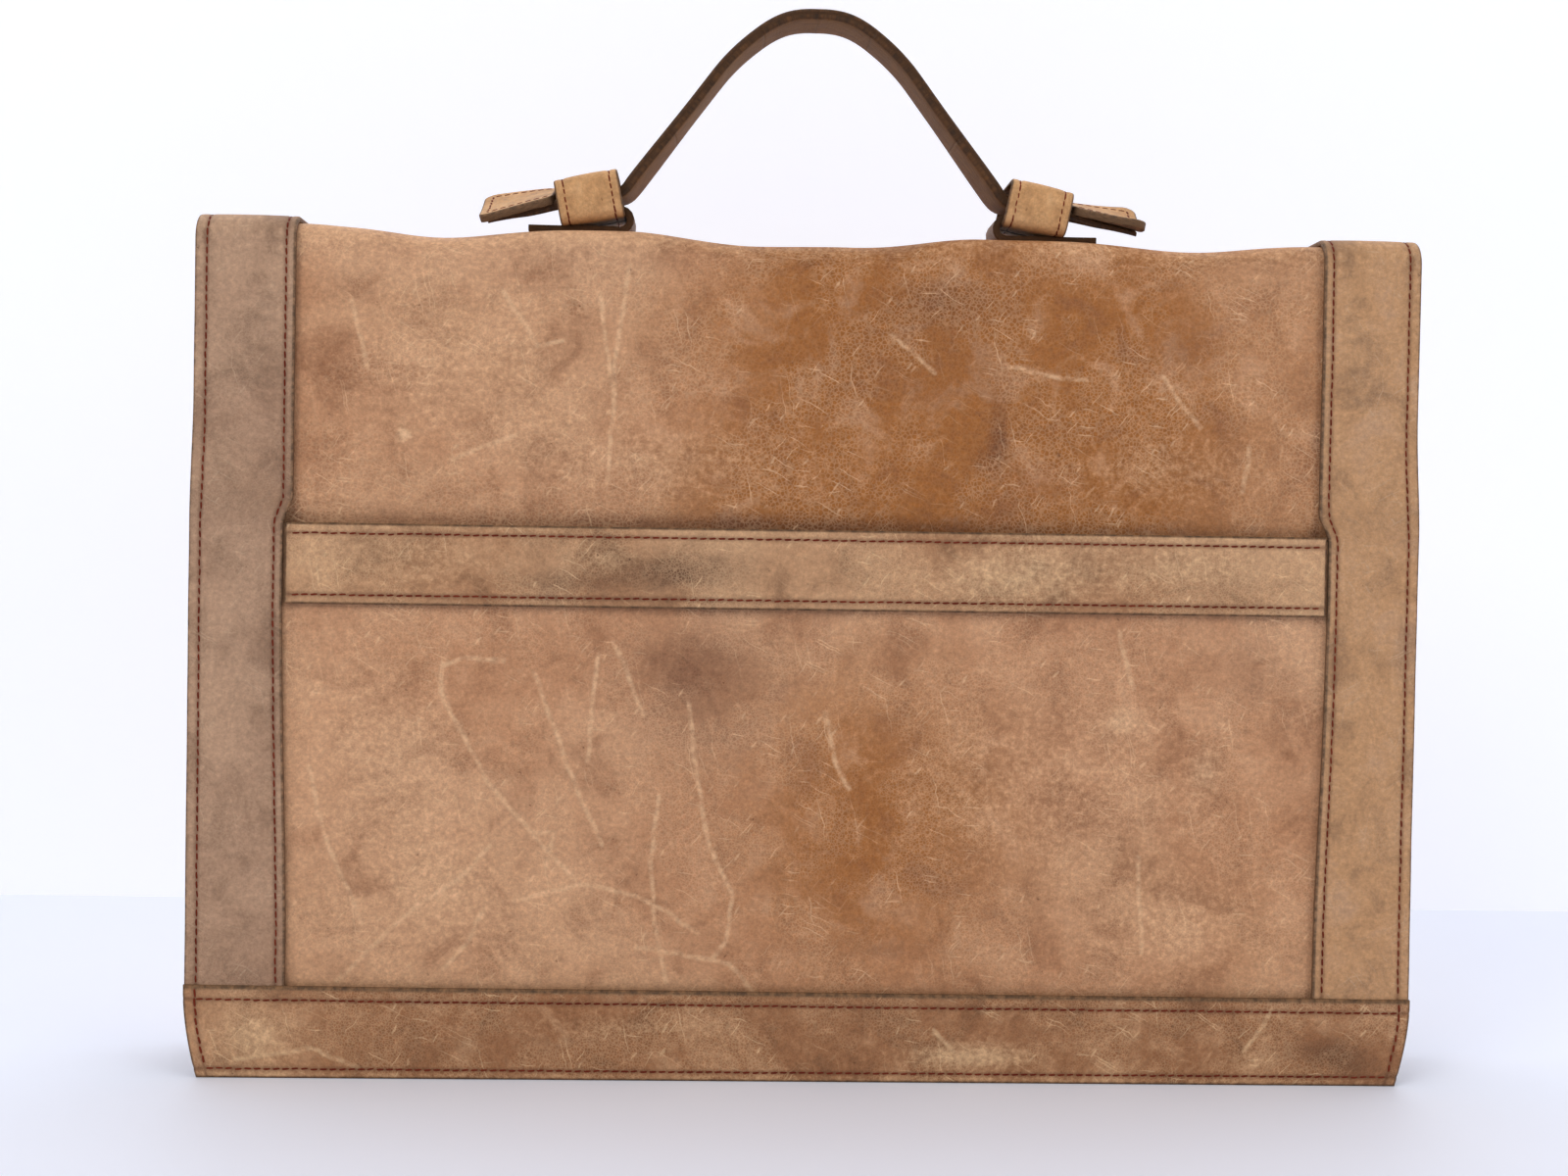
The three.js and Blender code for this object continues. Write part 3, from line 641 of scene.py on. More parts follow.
def leather(name, base, deep, pale, honey=(172, 120, 76), grain=1.0, grain_depth=0.3, wear=0.5,
            scratches=(), edge=(108, 80, 56), flesh=(150, 118, 92), roughness=0.62):
    """Worn vegetable-tanned leather. Patterns lie in the unrolled sheet, so they follow every bend."""
    g = Graph(name)
    at = g.attribute("leather_at").outputs["Vector"]
    cut_edge, flesh_side, stain, scuff, amber, seam = (
        g.attribute(look).outputs["Fac"]
        for look in ("cut_edge", "flesh_side", "stain", "scuff", "amber", "seam")
    )
    dark = tuple(c * share for c, share in zip(deep, (0.72, 0.66, 0.64)))
    light = tuple(min(c * share, 255) for c, share in zip(pale, (1.1, 1.16, 1.18)))
    mottle = g.noise(at, 19.0, 7.0, 0.66, 0.7)
    fine = g.noise(at, 2.4, 6.0, 0.72)
    speckle = g.noise(at, 1.3, 4.0, 0.7)
    pebbles = g.cell_edges(at, grain)

    # Colour of the grain side.
    tone = tanned_tone(g, at, mottle, amber, base, deep, pale, honey)
    # Darker where the stain attribute says so: real stains, plus painted shade along the pocket's mouth,
    # beside the strips' inner edges and at the bands' edges.
    ragged = g.math("ADD", stain, g.between(mottle, 0.2, 0.8, -0.3, 0.3))
    tone = g.mix(g.between(ragged, 0.12, 1.0, 0.0, 0.85), tone, colour(*dark))
    rubbed = g.math("ADD", scuff, g.between(fine, 0.25, 0.75, -0.3, 0.3))
    tone = g.mix(g.between(rubbed, 0.15, 1.1, 0.0, 0.7), tone, colour(*light))
    tone = scratched_tone(g, at, tone, light, pebbles, wear, scratches)
    specks = g.between(g.noise(at, 2.1, 2.0, 0.5), 0.69, 0.78, 0.0, 0.7)
    tone = g.mix(g.math("MULTIPLY", specks, g.between(mottle, 0.55, 0.4)), tone, colour(*dark))
    sandy = g.between(speckle, 0.3, 0.7, 0.88, 1.1)
    sandy = g.math("MULTIPLY", sandy, g.between(fine, 0.3, 0.7, 0.87, 1.12))
    sandy = g.math("MULTIPLY", sandy, g.between(mottle, 0.3, 0.7, 0.93, 1.07))
    # Stitch lines darkened: the thread's stain and painted shade in the groove.
    tone = g.mix(g.math("MULTIPLY", seam, 0.6), g.times(tone, sandy), STITCH_STAIN_AND_SHADE)

    # The raw flesh side and the cut edges.
    fibres = g.between(g.noise(at, (6.0, 1.2, 6.0), 5.0, 0.7), 0.3, 0.7)
    tone = g.mix(flesh_side, tone, g.mix(fibres, shade(flesh, 1.0), shade(flesh, 0.66)))
    edge_tone = g.mix(g.between(fine, 0.35, 0.7), shade(edge, 0.75), shade(edge, 1.3))
    tone = g.mix(g.between(cut_edge, 0.1, 0.7), tone, edge_tone)

    # Relief and gloss.
    creases = g.between(g.noise(at, (26.0, 3.2, 26.0), 5.0, 0.6, 1.2, 1.45), 0.3, 0.7)
    height = g.math("MULTIPLY", g.between(pebbles, 0.0, 0.28), grain_depth)
    height = g.math("ADD", height, g.math("MULTIPLY", fine, 0.7))
    height = g.math("ADD", height, g.math("MULTIPLY", creases, 0.35))
    rough = g.between(fine, 0.3, 0.7, roughness - 0.08, roughness + 0.12)
    rough = g.math("ADD", rough, g.math("MULTIPLY", stain, -0.14), clamp=True)
    rough = g.math("MAXIMUM", rough, g.math("MULTIPLY", flesh_side, 0.95))
    return g.finish(**{
        "Base Color": tone,
        "Roughness": rough,
        "Specular IOR Level": 0.22,
        "Normal": g.bump(height, 0.7, 0.26),
    })


def thread_material():
    g = Graph("stitch_thread")
    at = g.attribute("leather_at").outputs["Vector"]
    wave = {"Vector": g.scaled(at, (1.0, 1.0, 1.0)), "Scale": 1.4, "Distortion": 1.0}
    twist = g.node("ShaderNodeTexWave", wave, bands_direction="DIAGONAL").outputs[1]
    faded = g.between(g.noise(at, 22.0, 4.0), 0.35, 0.7)
    tone = g.mix(faded, colour(104, 32, 14), colour(128, 50, 28))
    tone = g.mix(g.math("MULTIPLY", twist, 0.5), tone, colour(70, 22, 12))
    return g.finish(**{
        "Base Color": tone,
        "Roughness": 0.7,
        "Specular IOR Level": 0.15,
        "Normal": g.bump(twist, 0.5, 0.08),
    })


def brass_material():
    g = Graph("aged_brass")
    at = g.node("ShaderNodeTexCoord").outputs["Object"]
    cloudy = g.noise(at, 9 * MM, 5.0, 0.6)
    brushed = g.noise(at, (0.25 * MM, 0.25 * MM, 9 * MM), 3.0)
    corner = g.node("ShaderNodeNewGeometry").outputs["Pointiness"]
    tone = g.mix(g.between(cloudy, 0.35, 0.7), colour(166, 132, 74), colour(118, 90, 50))
    tone = g.mix(g.between(corner, 0.52, 0.6, 0.0, 0.8), tone, colour(214, 182, 116))
    rough = g.between(cloudy, 0.3, 0.7, 0.28, 0.5)
    height = g.math("ADD", g.math("MULTIPLY", brushed, 0.5), cloudy)
    return g.finish(**{
        "Base Color": tone,
        "Metallic": 1.0,
        "Roughness": rough,
        "Normal": g.bump(height, 0.25, 0.05),
    })


POCKET_SCRATCHES = (
    ((-122, 138), (-122, 128), (-107, 100), (-89, 79), (-77, 67)),
    ((-101, 139), (-114, 140), (-122, 137)),
    ((-155, 32), (-134, 53), (-116, 66), (-105, 77)),
    ((-120, 36), (-112, 45), (-107, 56)),
    ((-97, 59), (-74, 65), (-56, 61), (-46, 56), (-36, 49)),
    ((-40, 126), (-37, 104), (-33, 80), (-24, 62), (-26, 46), (-31, 40)),
    ((-56, 44), (-25, 39), (-16, 29)),
    ((-70, 142), (-72, 124), (-73, 106)),
    ((-65, 146), (-59, 133), (-55, 122)),
    ((-91, 135), (-79, 102), (-68, 78)),
    ((-49, 95), (-52, 73), (-49, 46), (-46, 33)),
    ((-91, 82), (-84, 82), (-86, 71)),
    ((-165, 103), (-161, 84), (-147, 51)),
    ((6, 124), (9, 108), (14, 98)),
    ((104, 152), (109, 133)),
    ((112, 76), (114, 44)),
)
BACK_SCRATCHES = (
    ((-137.6, 214.9), (-134.6, 213.9)),
    ((-138.0, 214.2), (-134.4, 213.0)),
    ((-137.2, 215.4), (-135.6, 214.8)),
    ((-154, 258), (-148, 236)),
    ((-104, 262), (-92, 244), (-84, 246)),
    ((-62, 272), (-66, 240), (-68, 200)),
    ((26, 250), (41, 238)),
    ((-72, 262), (-66, 228)),
    ((118, 238), (131, 221)),
    ((148, 215), (146, 200)),
    ((-120, 206), (-99, 214)),
    ((66, 240), (92, 236)),
)
BAND_SCRATCHES = (
    ((-190, 6), (-164, 10), (-150, 4)),
    ((150, 12), (158, 26)),
    ((44, 18), (51, 11)),
)


def make_materials():
    panel = dict(base=(185, 133, 96), deep=(142, 90, 58), pale=(205, 158, 121), honey=(158, 97, 44))
    return {
        "back": leather("panel_leather_back", **panel, grain=1.3, grain_depth=0.4, wear=0.8,
                        scratches=BACK_SCRATCHES),
        "pocket": leather("panel_leather_pocket", **panel, grain=1.0, grain_depth=0.25, wear=0.8,
                          scratches=POCKET_SCRATCHES),
        "front": leather("panel_leather_front", **panel, grain=1.2, grain_depth=0.3, wear=0.7),
        "strip": leather("strip_leather", base=(156, 121, 96), deep=(122, 91, 69), pale=(182, 146, 118),
                         honey=(190, 144, 102), grain=0.9, grain_depth=0.2, wear=0.5,
                         edge=(124, 96, 72)),
        "band": leather("band_leather", base=(169, 122, 86), deep=(114, 76, 50), pale=(203, 160, 121),
                        honey=(150, 101, 66), grain=0.95, grain_depth=0.22, wear=0.8,
                        scratches=BAND_SCRATCHES),
        "gusset": leather("gusset_leather", base=(152, 112, 82), deep=(122, 84, 58), pale=(168, 130, 100),
                          grain=1.4, grain_depth=0.35, wear=0.25),
        "cuff": leather("cuff_leather", base=(200, 150, 100), deep=(158, 108, 62), pale=(214, 174, 130),
                        honey=(180, 130, 82), grain=0.9, grain_depth=0.2, wear=0.5, roughness=0.55),
        "strap": leather("strap_leather", base=(104, 68, 36), deep=(66, 41, 20), pale=(136, 96, 54),
                         honey=(98, 62, 30), grain=0.8, grain_depth=0.3, wear=0.6, edge=(74, 47, 24),
                         flesh=(124, 82, 40), roughness=0.5),
        "thread": thread_material(),
        "brass": brass_material(),
    }


materials = make_materials()


def dress(piece, material, replaced=(), body=None):
    """Gives a piece its looks, hides the frame's nodes it stands for, and hangs it on the body it rides on.
    """
    piece.data.materials.append(materials[material])
    if replaced:
        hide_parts(*replaced)
    if body:
        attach(piece, body)


# ---- Baking the transforms of the pieces at the two top edges --------------------------------


def bend_at_back(piece):
    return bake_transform(piece)


def bend_at_front(piece):
    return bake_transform(piece)


# ---- Main leather: back, top and flap ---------------------------------------------------------

def spots(x, z, marks):
    """The sum of soft spots, each given by its strength, its middle (x, z) and its reach both ways."""
    total = 0.0 * x
    for strength, at_x, at_z, reach_x, reach_z in marks:
        total = total + strength * np.exp(-((x - at_x) / reach_x) ** 2 - ((z - at_z) / reach_z) ** 2)
    return total


BACK_STAINS = (
    (0.5, 44, 262, 26, 9),
    (0.35, 30, 240, 62, 22),
    (0.7, 63, 216, 4, 13),
    (0.45, 56, 208, 6, 7),
    (0.75, -3, 274, 4, 3),
    (0.3, 128, 248, 18, 12),
    (0.2, -60, 264, 14, 12),
)
BACK_SCUFFS = (
    (1.6, -136, 214, 2.4, 1.4),
    (0.35, -120, 236, 50, 30),
    (0.45, -50, 206, 44, 14),
    (0.45, 120, 206, 36, 14),
)


def back_paint(x, v):
    """Stains, scuffs and honey-coloured parts of the upper back, with painted shade and dirt above the
    pocket's mouth and painted shade beside the strips' inner edges.
    """
    stain = (
        spots(x, v, BACK_STAINS)
        # Painted shade and dirt in a band just above the pocket's mouth, heavier in the middle.
        + (0.45 + 0.35 * bump(x + 10, 90)) * bump(v - POCKET_TOP - 1, 5)
        # Painted shade on the panel beside the strips' inner edges.
        + 0.4 * bump(np.abs(x) - STRIP_INNER + 1, 2)
    )
    scuff = spots(x, v, BACK_SCUFFS) + 0.45 * bump(v - SHOULDER_Z - 6, 9)
    amber = 0.2 + 0.85 * smooth(x, -80, 10) - 0.55 * smooth(x, 90, 160) - 0.2 * bump(v - 274, 10)
    return {"stain": stain, "scuff": scuff, "amber": amber}


POCKET_STAINS = (
    (0.55, -38, 140, 34, 15),
    (0.4, -34, 118, 30, 24),
    (0.45, 150, 138, 12, 16),
    (0.2, 20, 70, 60, 26),
    (0.35, 20, 44, 40, 3),
)
POCKET_SCUFFS = (
    (0.6, 106, 122, 7, 5),
    (0.5, 134, 105, 6, 9),
    (0.5, -120, 60, 26, 22),
    (0.4, 80, 100, 60, 36),
    (0.45, -140, 110, 26, 30),
    (0.4, 126, 52, 30, 20),
)
POCKET_HONEY = (
    (0.8, 24, 84, 50, 56),
    (0.25, 140, 60, 40, 60),
)


def pocket_paint(x, z):
    stain = (
        spots(x, z, POCKET_STAINS)
        # Painted shade on the pocket along the mouth band's and the bottom band's edges, and beside the
        # strips' inner edges.
        + 0.4 * bump(z - POCKET_BAND_LOW, 2.5)
        + 0.4 * bump(z - BOTTOM_BAND_TOP, 2.5)
        + 0.35 * bump(np.abs(x) - STRIP_INNER, 2)
    )
    return {"stain": stain, "scuff": spots(x, z, POCKET_SCUFFS), "amber": 0.1 + spots(x, z, POCKET_HONEY)}


def strip_paint(side):
    def paint(u, v):
        # Painted shade and dirt where the strip steps down above the pocket's mouth, and painted shade
        # along the strip's inner edge.
        dirt_and_shade = 0.35 * bump(v - POCKET_TOP - 6, 10) + 0.3 * bump(u - (HALF_WIDTH - STRIP_INNER), 2.0)
        shine = 0.3 * bump(v - SHOULDER_Z - 8, 9) + 0.3 * bump(u, 2.5)
        return {"stain": dirt_and_shade, "scuff": shine, "amber": 0.95 if side > 0 else 0.05}
    return paint


def corner_inset(up):
    """How far the flap's rounded corner draws the edge in, at a height above the flap's lower edge."""
    up = np.clip(up, 0, FLAP_CORNER)
    return FLAP_CORNER - np.sqrt(np.maximum(FLAP_CORNER ** 2 - (FLAP_CORNER - up) ** 2, 0))


def build_main_leather():
    us = grid_line(-HALF_WIDTH, HALF_WIDTH, fine=(-STRIP_INNER, STRIP_INNER))

    def place(u, v):
        x = u * half_width_at(v) / HALF_WIDTH
        return place_wrap(x, v, 0.0)

    vs = grid_line(0, TOP_MIDDLE, fine=bend_rows(SHOULDER_Z, TOP_START), fine_reach=BEND_ROW_REACH)
    back = sheet("back_leather", us, vs, place, POCKET_SIDE, joins=("v1",), paint=back_paint)
    dress(back, "back", ("back_panel", "top_panel"))
    bend_at_back(back)

    def place_flap(u, v):
        x = u * (HALF_WIDTH - corner_inset(FLAP_END - v)) / HALF_WIDTH
        return place_wrap(x, v, 0.0)

    fine = bend_rows(TOP_END, FLAP_START) + tuple(FLAP_END - FLAP_CORNER * np.array(CORNER_ROWS))
    vs = grid_line(TOP_MIDDLE, FLAP_END, fine=fine, fine_reach=BEND_ROW_REACH)
    flap = sheet("flap_leather", us, vs, place_flap, FLAP_SIDE, joins=("v0",))
    dress(flap, "front", ("flap_panel",))
    bend_at_front(flap)


# ---- Border strips -------------------------------------------------------------------------------

def strip_lift(u, v):
    """The strips lie on the panel above the slip pocket and step out over the pocket. Their sewn
    outer edge takes that step slowly, their inner edge at once."""
    run = 7.5 + 32 * (1 - u / (HALF_WIDTH - STRIP_INNER))
    over_pocket = 1 - smooth(v, POCKET_TOP + 0.8, POCKET_TOP + run)
    return BACK_STRIP_LIFT + over_pocket * (BACK_Y - TRIM_Y - BACK_STRIP_LIFT)


def strip_inner_edge(v):
    """The strip's inner edge is not quite straight: it pulls in beside the pocket's mouth."""
    return STRIP_INNER + 2.4 * smooth(v, POCKET_TOP + 9, POCKET_TOP - 2) * smooth(v, 40, POCKET_TOP - 20)


def place_strip(side):
    """Surface of a border strip: u is the distance from its outer edge, v the length from the ground."""
    def place(u, v):
        width = HALF_WIDTH - strip_inner_edge(v)
        x = side * (HALF_WIDTH - u * width / (HALF_WIDTH - STRIP_INNER))
        x = x * half_width_at(v) / HALF_WIDTH
        dent = groove(u - OUTER_STITCH) + groove(u - (HALF_WIDTH - STRIP_INNER) + INNER_STITCH)
        crown = 0.25 * np.sin(math.pi * u / (HALF_WIDTH - STRIP_INNER))
        return place_wrap(x, v, strip_lift(u, v) + dent + crown)
    return place


def build_strips():
    width = HALF_WIDTH - STRIP_INNER
    lines = (OUTER_STITCH, width - INNER_STITCH)
    us = band_line(0, width, fine=lines)
    step_rows = tuple(np.linspace(POCKET_TOP, POCKET_TOP + 8, 6))
    fine = step_rows + bend_rows(SHOULDER_Z, TOP_START)
    back_vs = grid_line(STRIP_LOW - 1.5, TOP_MIDDLE, edge=BAND_BORDER, fine=fine, fine_reach=BEND_ROW_REACH)
    fine = bend_rows(TOP_END, FLAP_START)
    flap_end = FLAP_BAND_START - 0.3
    flap_vs = grid_line(TOP_MIDDLE, flap_end, edge=BAND_BORDER, fine=fine, fine_reach=BEND_ROW_REACH)
    rows_back = []
    rows_flap = []
    for side, word in ((-1, "left"), (1, "right")):
        place = place_strip(side)
        looks = dict(edge=BAND_BORDER, paint=strip_paint(side), seams=[("u", line) for line in lines])
        back = sheet(f"back_border_strip_{word}", us, back_vs, place, POCKET_SIDE, joins=("v1",), **looks)
        dress(back, "strip", (f"back_strip_{word}", f"top_strip_{word}"))
        bend_at_back(back)
        flap = sheet(f"flap_border_strip_{word}", us, flap_vs, place, FLAP_SIDE, joins=("v0",), **looks)
        dress(flap, "strip", (f"flap_strip_{word}",))
        bend_at_front(flap)
        for line in lines:
            on_back = [(line, STRIP_LOW + 1), (line, TOP_MIDDLE)]
            on_flap = [(line, TOP_MIDDLE), (line, FLAP_BAND_START - 2)]
            rows_back.append(stitch_row(place, on_back, POCKET_SIDE))
            rows_flap.append(stitch_row(place, on_flap, FLAP_SIDE))
    return rows_back, rows_flap


# ---- Slip pocket and bands on the back ---------------------------------------------------------

def place_on_back(surface_y, slope=0.0):
    """A layer of the pocket side. Its upper edge runs up to the right by the given slope."""
    def place(u, z):
        x = u * half_width_at(z) / HALF_WIDTH
        uneven = slope * x * smooth(z, 0, BOTTOM_BAND_TOP)
        out = back_swell(x, z) + pocket_gape(x, z)
        return np.stack([x, surface_y - out + 0 * x, z + uneven], axis=-1)
    return place


def with_grooves(place, lines, outward_y):
    """A band's surface with the dents of its stitch rows, which run along u at the given heights."""
    def grooved(u, v):
        points = place(u, v)
        dent = sum(groove(v - line) for line in lines)
        points[..., 1] += outward_y * dent
        return points
    return grooved


MOUTH_BAND_STAINS = (
    (0.75, -44, 170, 30, 8),
    (0.5, -84, 166, 26, 5),
    (0.4, 140, 168, 16, 7),
)
MOUTH_BAND_SCUFFS = (
    (0.5, -66, 174, 12, 5),
    (0.7, 70, 170, 34, 12),
    (0.5, 128, 174, 26, 8),
    (0.4, -130, 172, 36, 10),
)


def mouth_band_paint(x, z):
    # Real stains, plus painted shade just above the band's lower edge, where it meets the pocket.
    stain = spots(x, z, MOUTH_BAND_STAINS) + 0.3 * bump(z - POCKET_BAND_LOW - 2, 2)
    scuff = spots(x, z, MOUTH_BAND_SCUFFS) + 0.3 * bump(z - POCKET_TOP, 1.5)
    return {"stain": stain, "scuff": scuff, "amber": 0.25 * bump(x, 60)}


BOTTOM_BAND_STAINS = (
    (0.7, 178, 12, 16, 6),
    (0.5, 190, 6, 10, 5),
    (0.25, -100, 12, 60, 8),
)
BOTTOM_BAND_SCUFFS = (
    (0.7, -182, 13, 12, 9),
    (0.9, 58, 9, 24, 5),
    (0.4, -60, 18, 50, 5),
    (0.45, 150, 8, 14, 5),
)


def bottom_band_paint(x, z):
    # Real stains, plus painted shade along the band's upper edge.
    stain = spots(x, z, BOTTOM_BAND_STAINS) + 0.3 * bump(z - BOTTOM_BAND_TOP, 4)
    scuff = spots(x, z, BOTTOM_BAND_SCUFFS) + 0.35 * bump(z - 1, 2.0)
    return {"stain": stain, "scuff": scuff, "amber": 0.9 - 0.5 * bump(x + 190, 30)}


def build_pocket():
    us = grid_line(-HALF_WIDTH + 1.5, HALF_WIDTH - 1.5)
    vs = grid_line(1.0, POCKET_TOP)
    place = place_on_back(POCKET_Y)
    pocket = sheet("slip_pocket_leather", us, vs, place, POCKET_SIDE, paint=pocket_paint)
    dress(pocket, "pocket", ("pocket_panel",), "case_back")


def build_mouth_band():
    lines = (POCKET_TOP - BAND_STITCH, POCKET_BAND_LOW + BAND_STITCH)
    under_strip = 1.6
    reach = STRIP_INNER + under_strip
    us = grid_line(-reach, reach, edge=BAND_BORDER)
    vs = band_line(POCKET_BAND_LOW, POCKET_TOP + 0.3, fine=lines)
    place = with_grooves(place_on_back(TRIM_Y, slope=0.55 / HALF_WIDTH), lines, -1)
    band = sheet("pocket_mouth_band", us, vs, place, POCKET_SIDE, edge=BAND_BORDER, paint=mouth_band_paint,
                 seams=[("v", line) for line in lines])
    dress(band, "band", ("pocket_band",), "case_back")
    return [stitch_row(place, [(-reach + 2, line), (reach - 2, line)], POCKET_SIDE) for line in lines]


def build_bottom_band():
    """The band over the ends of the strips and of the pocket. Its upper edge is folded over softly."""
    lines = (BOTTOM_BAND_TOP - BAND_STITCH - 1.0, BAND_STITCH)
    side = HALF_WIDTH - OUTER_STITCH
    ends = (-side, side)
    soft_edge = 1.5
    us = grid_line(-HALF_WIDTH, HALF_WIDTH, edge=1.2, fine=ends)
    vs = grid_line(0, BOTTOM_BAND_TOP + 0.4, BAND_STEP, edge=soft_edge, fine=lines)
    place = with_grooves(place_on_back(TRIM_Y - BAND_STANDS_PROUD, slope=-0.7 / HALF_WIDTH), lines, -1)
    seams = [("v", line) for line in lines] + [("u", end) for end in ends]
    band = sheet("bottom_band_back", us, vs, place, POCKET_SIDE, edge=1.0, bevels={"v1": soft_edge},
                 paint=bottom_band_paint, seams=seams)
    dress(band, "band", ("back_bottom_band",), "case_back")
    rows = [stitch_row(place, [(-side, line), (side, line)], POCKET_SIDE) for line in lines]
    for end in ends:
        up = [(end, BAND_STITCH + 1.5), (end, BOTTOM_BAND_TOP - 0.5)]
        rows.append(stitch_row(place, up, POCKET_SIDE))
    return rows


# ---- Flap band, front panel and gussets -------------------------------------------------------

def build_flap_band():
    surface = high("flap_band").y
    lines = (FLAP_BOTTOM + BAND_STITCH + 0.4, FLAP_BAND_TOP - BAND_STITCH)

    def place(u, z):
        x = u * (HALF_WIDTH - corner_inset(z - FLAP_BOTTOM)) / HALF_WIDTH
        dent = sum(groove(z - line) for line in lines)
        y = surface + flap_swell(x, z) + dent
        return np.stack([x, y + 0 * x, z + 0 * x], axis=-1)

    us = grid_line(-HALF_WIDTH, HALF_WIDTH, edge=BAND_BORDER)
    corner_rows = tuple(FLAP_BOTTOM + FLAP_CORNER * np.array(CORNER_ROWS))
    vs = band_line(FLAP_BOTTOM, FLAP_BAND_TOP, fine=lines + corner_rows, fine_reach=0.8)
    band = sheet("flap_bottom_band", us, vs, place, FLAP_SIDE, edge=BAND_BORDER)
    dress(band, "band", ("flap_band",), "flap")
    side = HALF_WIDTH - OUTER_STITCH
    hasp = high("hasp_plate").x + 1.5
    rows = [stitch_row(place, [(-side, lines[1]), (-hasp, lines[1])], FLAP_SIDE)]
    rows.append(stitch_row(place, [(hasp, lines[1]), (side, lines[1])], FLAP_SIDE))
    for sign in (-1, 1):
        corner = [(sign * side, z) for z in np.linspace(FLAP_BAND_TOP - 0.5, lines[0] + 4, 8)]
        turn = [(sign * (side - 2), lines[0] + 1), (sign * (side - 5), lines[0])]
        rows.append(stitch_row(place, corner + turn + [(sign * hasp, lines[0])], FLAP_SIDE))
    return rows


def place_front(u, z):
    x = u * half_width_at(z) / HALF_WIDTH
    return np.stack([x, FRONT_Y + front_swell(x, z) + 0 * x, z + 0 * x], axis=-1)


def build_front():
    front = sheet("front_leather", grid_line(-HALF_WIDTH, HALF_WIDTH), grid_line(0, FRONT_TOP),
                  place_front, FLAP_SIDE)
    dress(front, "front", ("front_panel",), "front")


def build_front_band():
    lines = (BOTTOM_BAND_TOP - BAND_STITCH, BAND_STITCH)
    surface = high("front_bottom_band").y

    def place(u, z):
        x = u * half_width_at(z) / HALF_WIDTH
        dent = sum(groove(z - line) for line in lines)
        return np.stack([x, surface + front_swell(x, z) + dent + 0 * x, z + 0 * x], axis=-1)

    border = 1.1
    us = grid_line(-HALF_WIDTH, HALF_WIDTH)
    vs = grid_line(0, BOTTOM_BAND_TOP, BAND_STEP, edge=border, fine=lines)
    band = sheet("bottom_band_front", us, vs, place, FLAP_SIDE, edge=border)
    dress(band, "band", ("front_bottom_band",), "front")
    side = HALF_WIDTH - OUTER_STITCH
    rows = [stitch_row(place, [(-side, line), (side, line)], FLAP_SIDE) for line in lines]
    for end in (-side, side):
        on_band = [(end, BAND_STITCH + 1.5), (end, BOTTOM_BAND_TOP - 0.5)]
        on_panel = [(end, BOTTOM_BAND_TOP + 1), (end, FRONT_TOP - 3)]
        rows.append(stitch_row(place, on_band, FLAP_SIDE))
        rows.append(stitch_row(place_front, on_panel, FLAP_SIDE))
    return rows


def build_gusset():
    """One long strip down one side, along the bottom and up the other, folded in along its middle."""
    outer_x = high("gusset_right").x
    apex = outer_x - low("gusset_right").x
    low_y = low("gusset_right").y
    high_y = high("gusset_right").y
    thickness = 1.6
    top = high("gusset_right").z
    corner = apex + 5.0
    flange = 9.0
    middle_y = (low_y + high_y) / 2
    chain = np.array([
        (0.3, low_y), (flange, low_y), (apex - thickness, middle_y), (flange, high_y), (0.3, high_y),
    ])
    lengths = np.concatenate([[0], np.cumsum(np.linalg.norm(np.diff(chain, axis=0), axis=1))])

    def fold(w):
        """How far in from the edge, and where across the depth, a point of the gusset's profile lies."""
        spread = 1.6
        parts = [
            np.stack([np.interp(np.clip(w + shift, 0, lengths[-1]), lengths, chain[:, k]) for k in (0, 1)])
            for shift in (-spread, -spread / 2, 0, spread / 2, spread)
        ]
        return sum(parts) / len(parts)

    straight = outer_x - corner
    side_run = top - corner
    arc = corner * math.pi / 2

    def place(w, s):
        inward, y = fold(w)
        turned = np.clip((s - side_run) / corner, 0, math.pi / 2)
        turned_2 = np.clip((s - side_run - arc - 2 * straight) / corner, 0, math.pi / 2)
        angle = turned + turned_2
        x = (
            -outer_x
            + corner * (1 - np.cos(turned))
            + np.clip(s - side_run - arc, 0, 2 * straight)
            + corner * np.sin(turned_2)
        )
        z = (
            top
            - np.clip(s, 0, side_run)
            - corner * np.sin(turned)
            + corner * (1 - np.cos(turned_2))
            + np.maximum(s - side_run - 2 * arc - 2 * straight, 0)
        )
        sway = 0.6 * np.sin(s / 31.0) * np.sin(math.pi * w / lengths[-1])
        inward = inward + sway
        return np.stack([x + inward * np.cos(angle), y + 0 * x, z + inward * np.sin(angle)], axis=-1)

    total = 2 * side_run + 2 * arc + 2 * straight
    us = grid_line(0, lengths[-1], 2.0, edge=0.6, fine=tuple(lengths[1:-1]), fine_reach=1.5)
    vs = grid_line(0, total, 4.0, edge=0.6)
    gusset = sheet("gusset_leather", us, vs, place, (0, 0, -1), thickness=thickness, edge=0.6)
    dress(gusset, "gusset", ("gusset_left", "gusset_right", "gusset_bottom"))
    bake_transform(gusset)


# ---- Handle: strap, stop tabs, cuffs and anchors -----------------------------------------------

STRAP_WIDTH = high("strap_crown").y - low("strap_crown").y
STRAP_THICKNESS = 4.2
STRAP_ROUNDING = 1.2
STRAP_SWELL = 0.25
STRAP_GROOVE = 0.45
CUFF_END = high("handle_cuff_right").x - 2.5
CREST_Z = high("strap_crown").z - STRAP_THICKNESS / 2
LEG_PIVOT = pivot("leg_right_bend")
FOOT_PIVOT = pivot("foot_right_bend")
SHOULDER_PIVOT = pivot("shoulder_right_bend")
FOOT_SLOPE = math.radians(6)
FOOT_LENGTH = 43.5

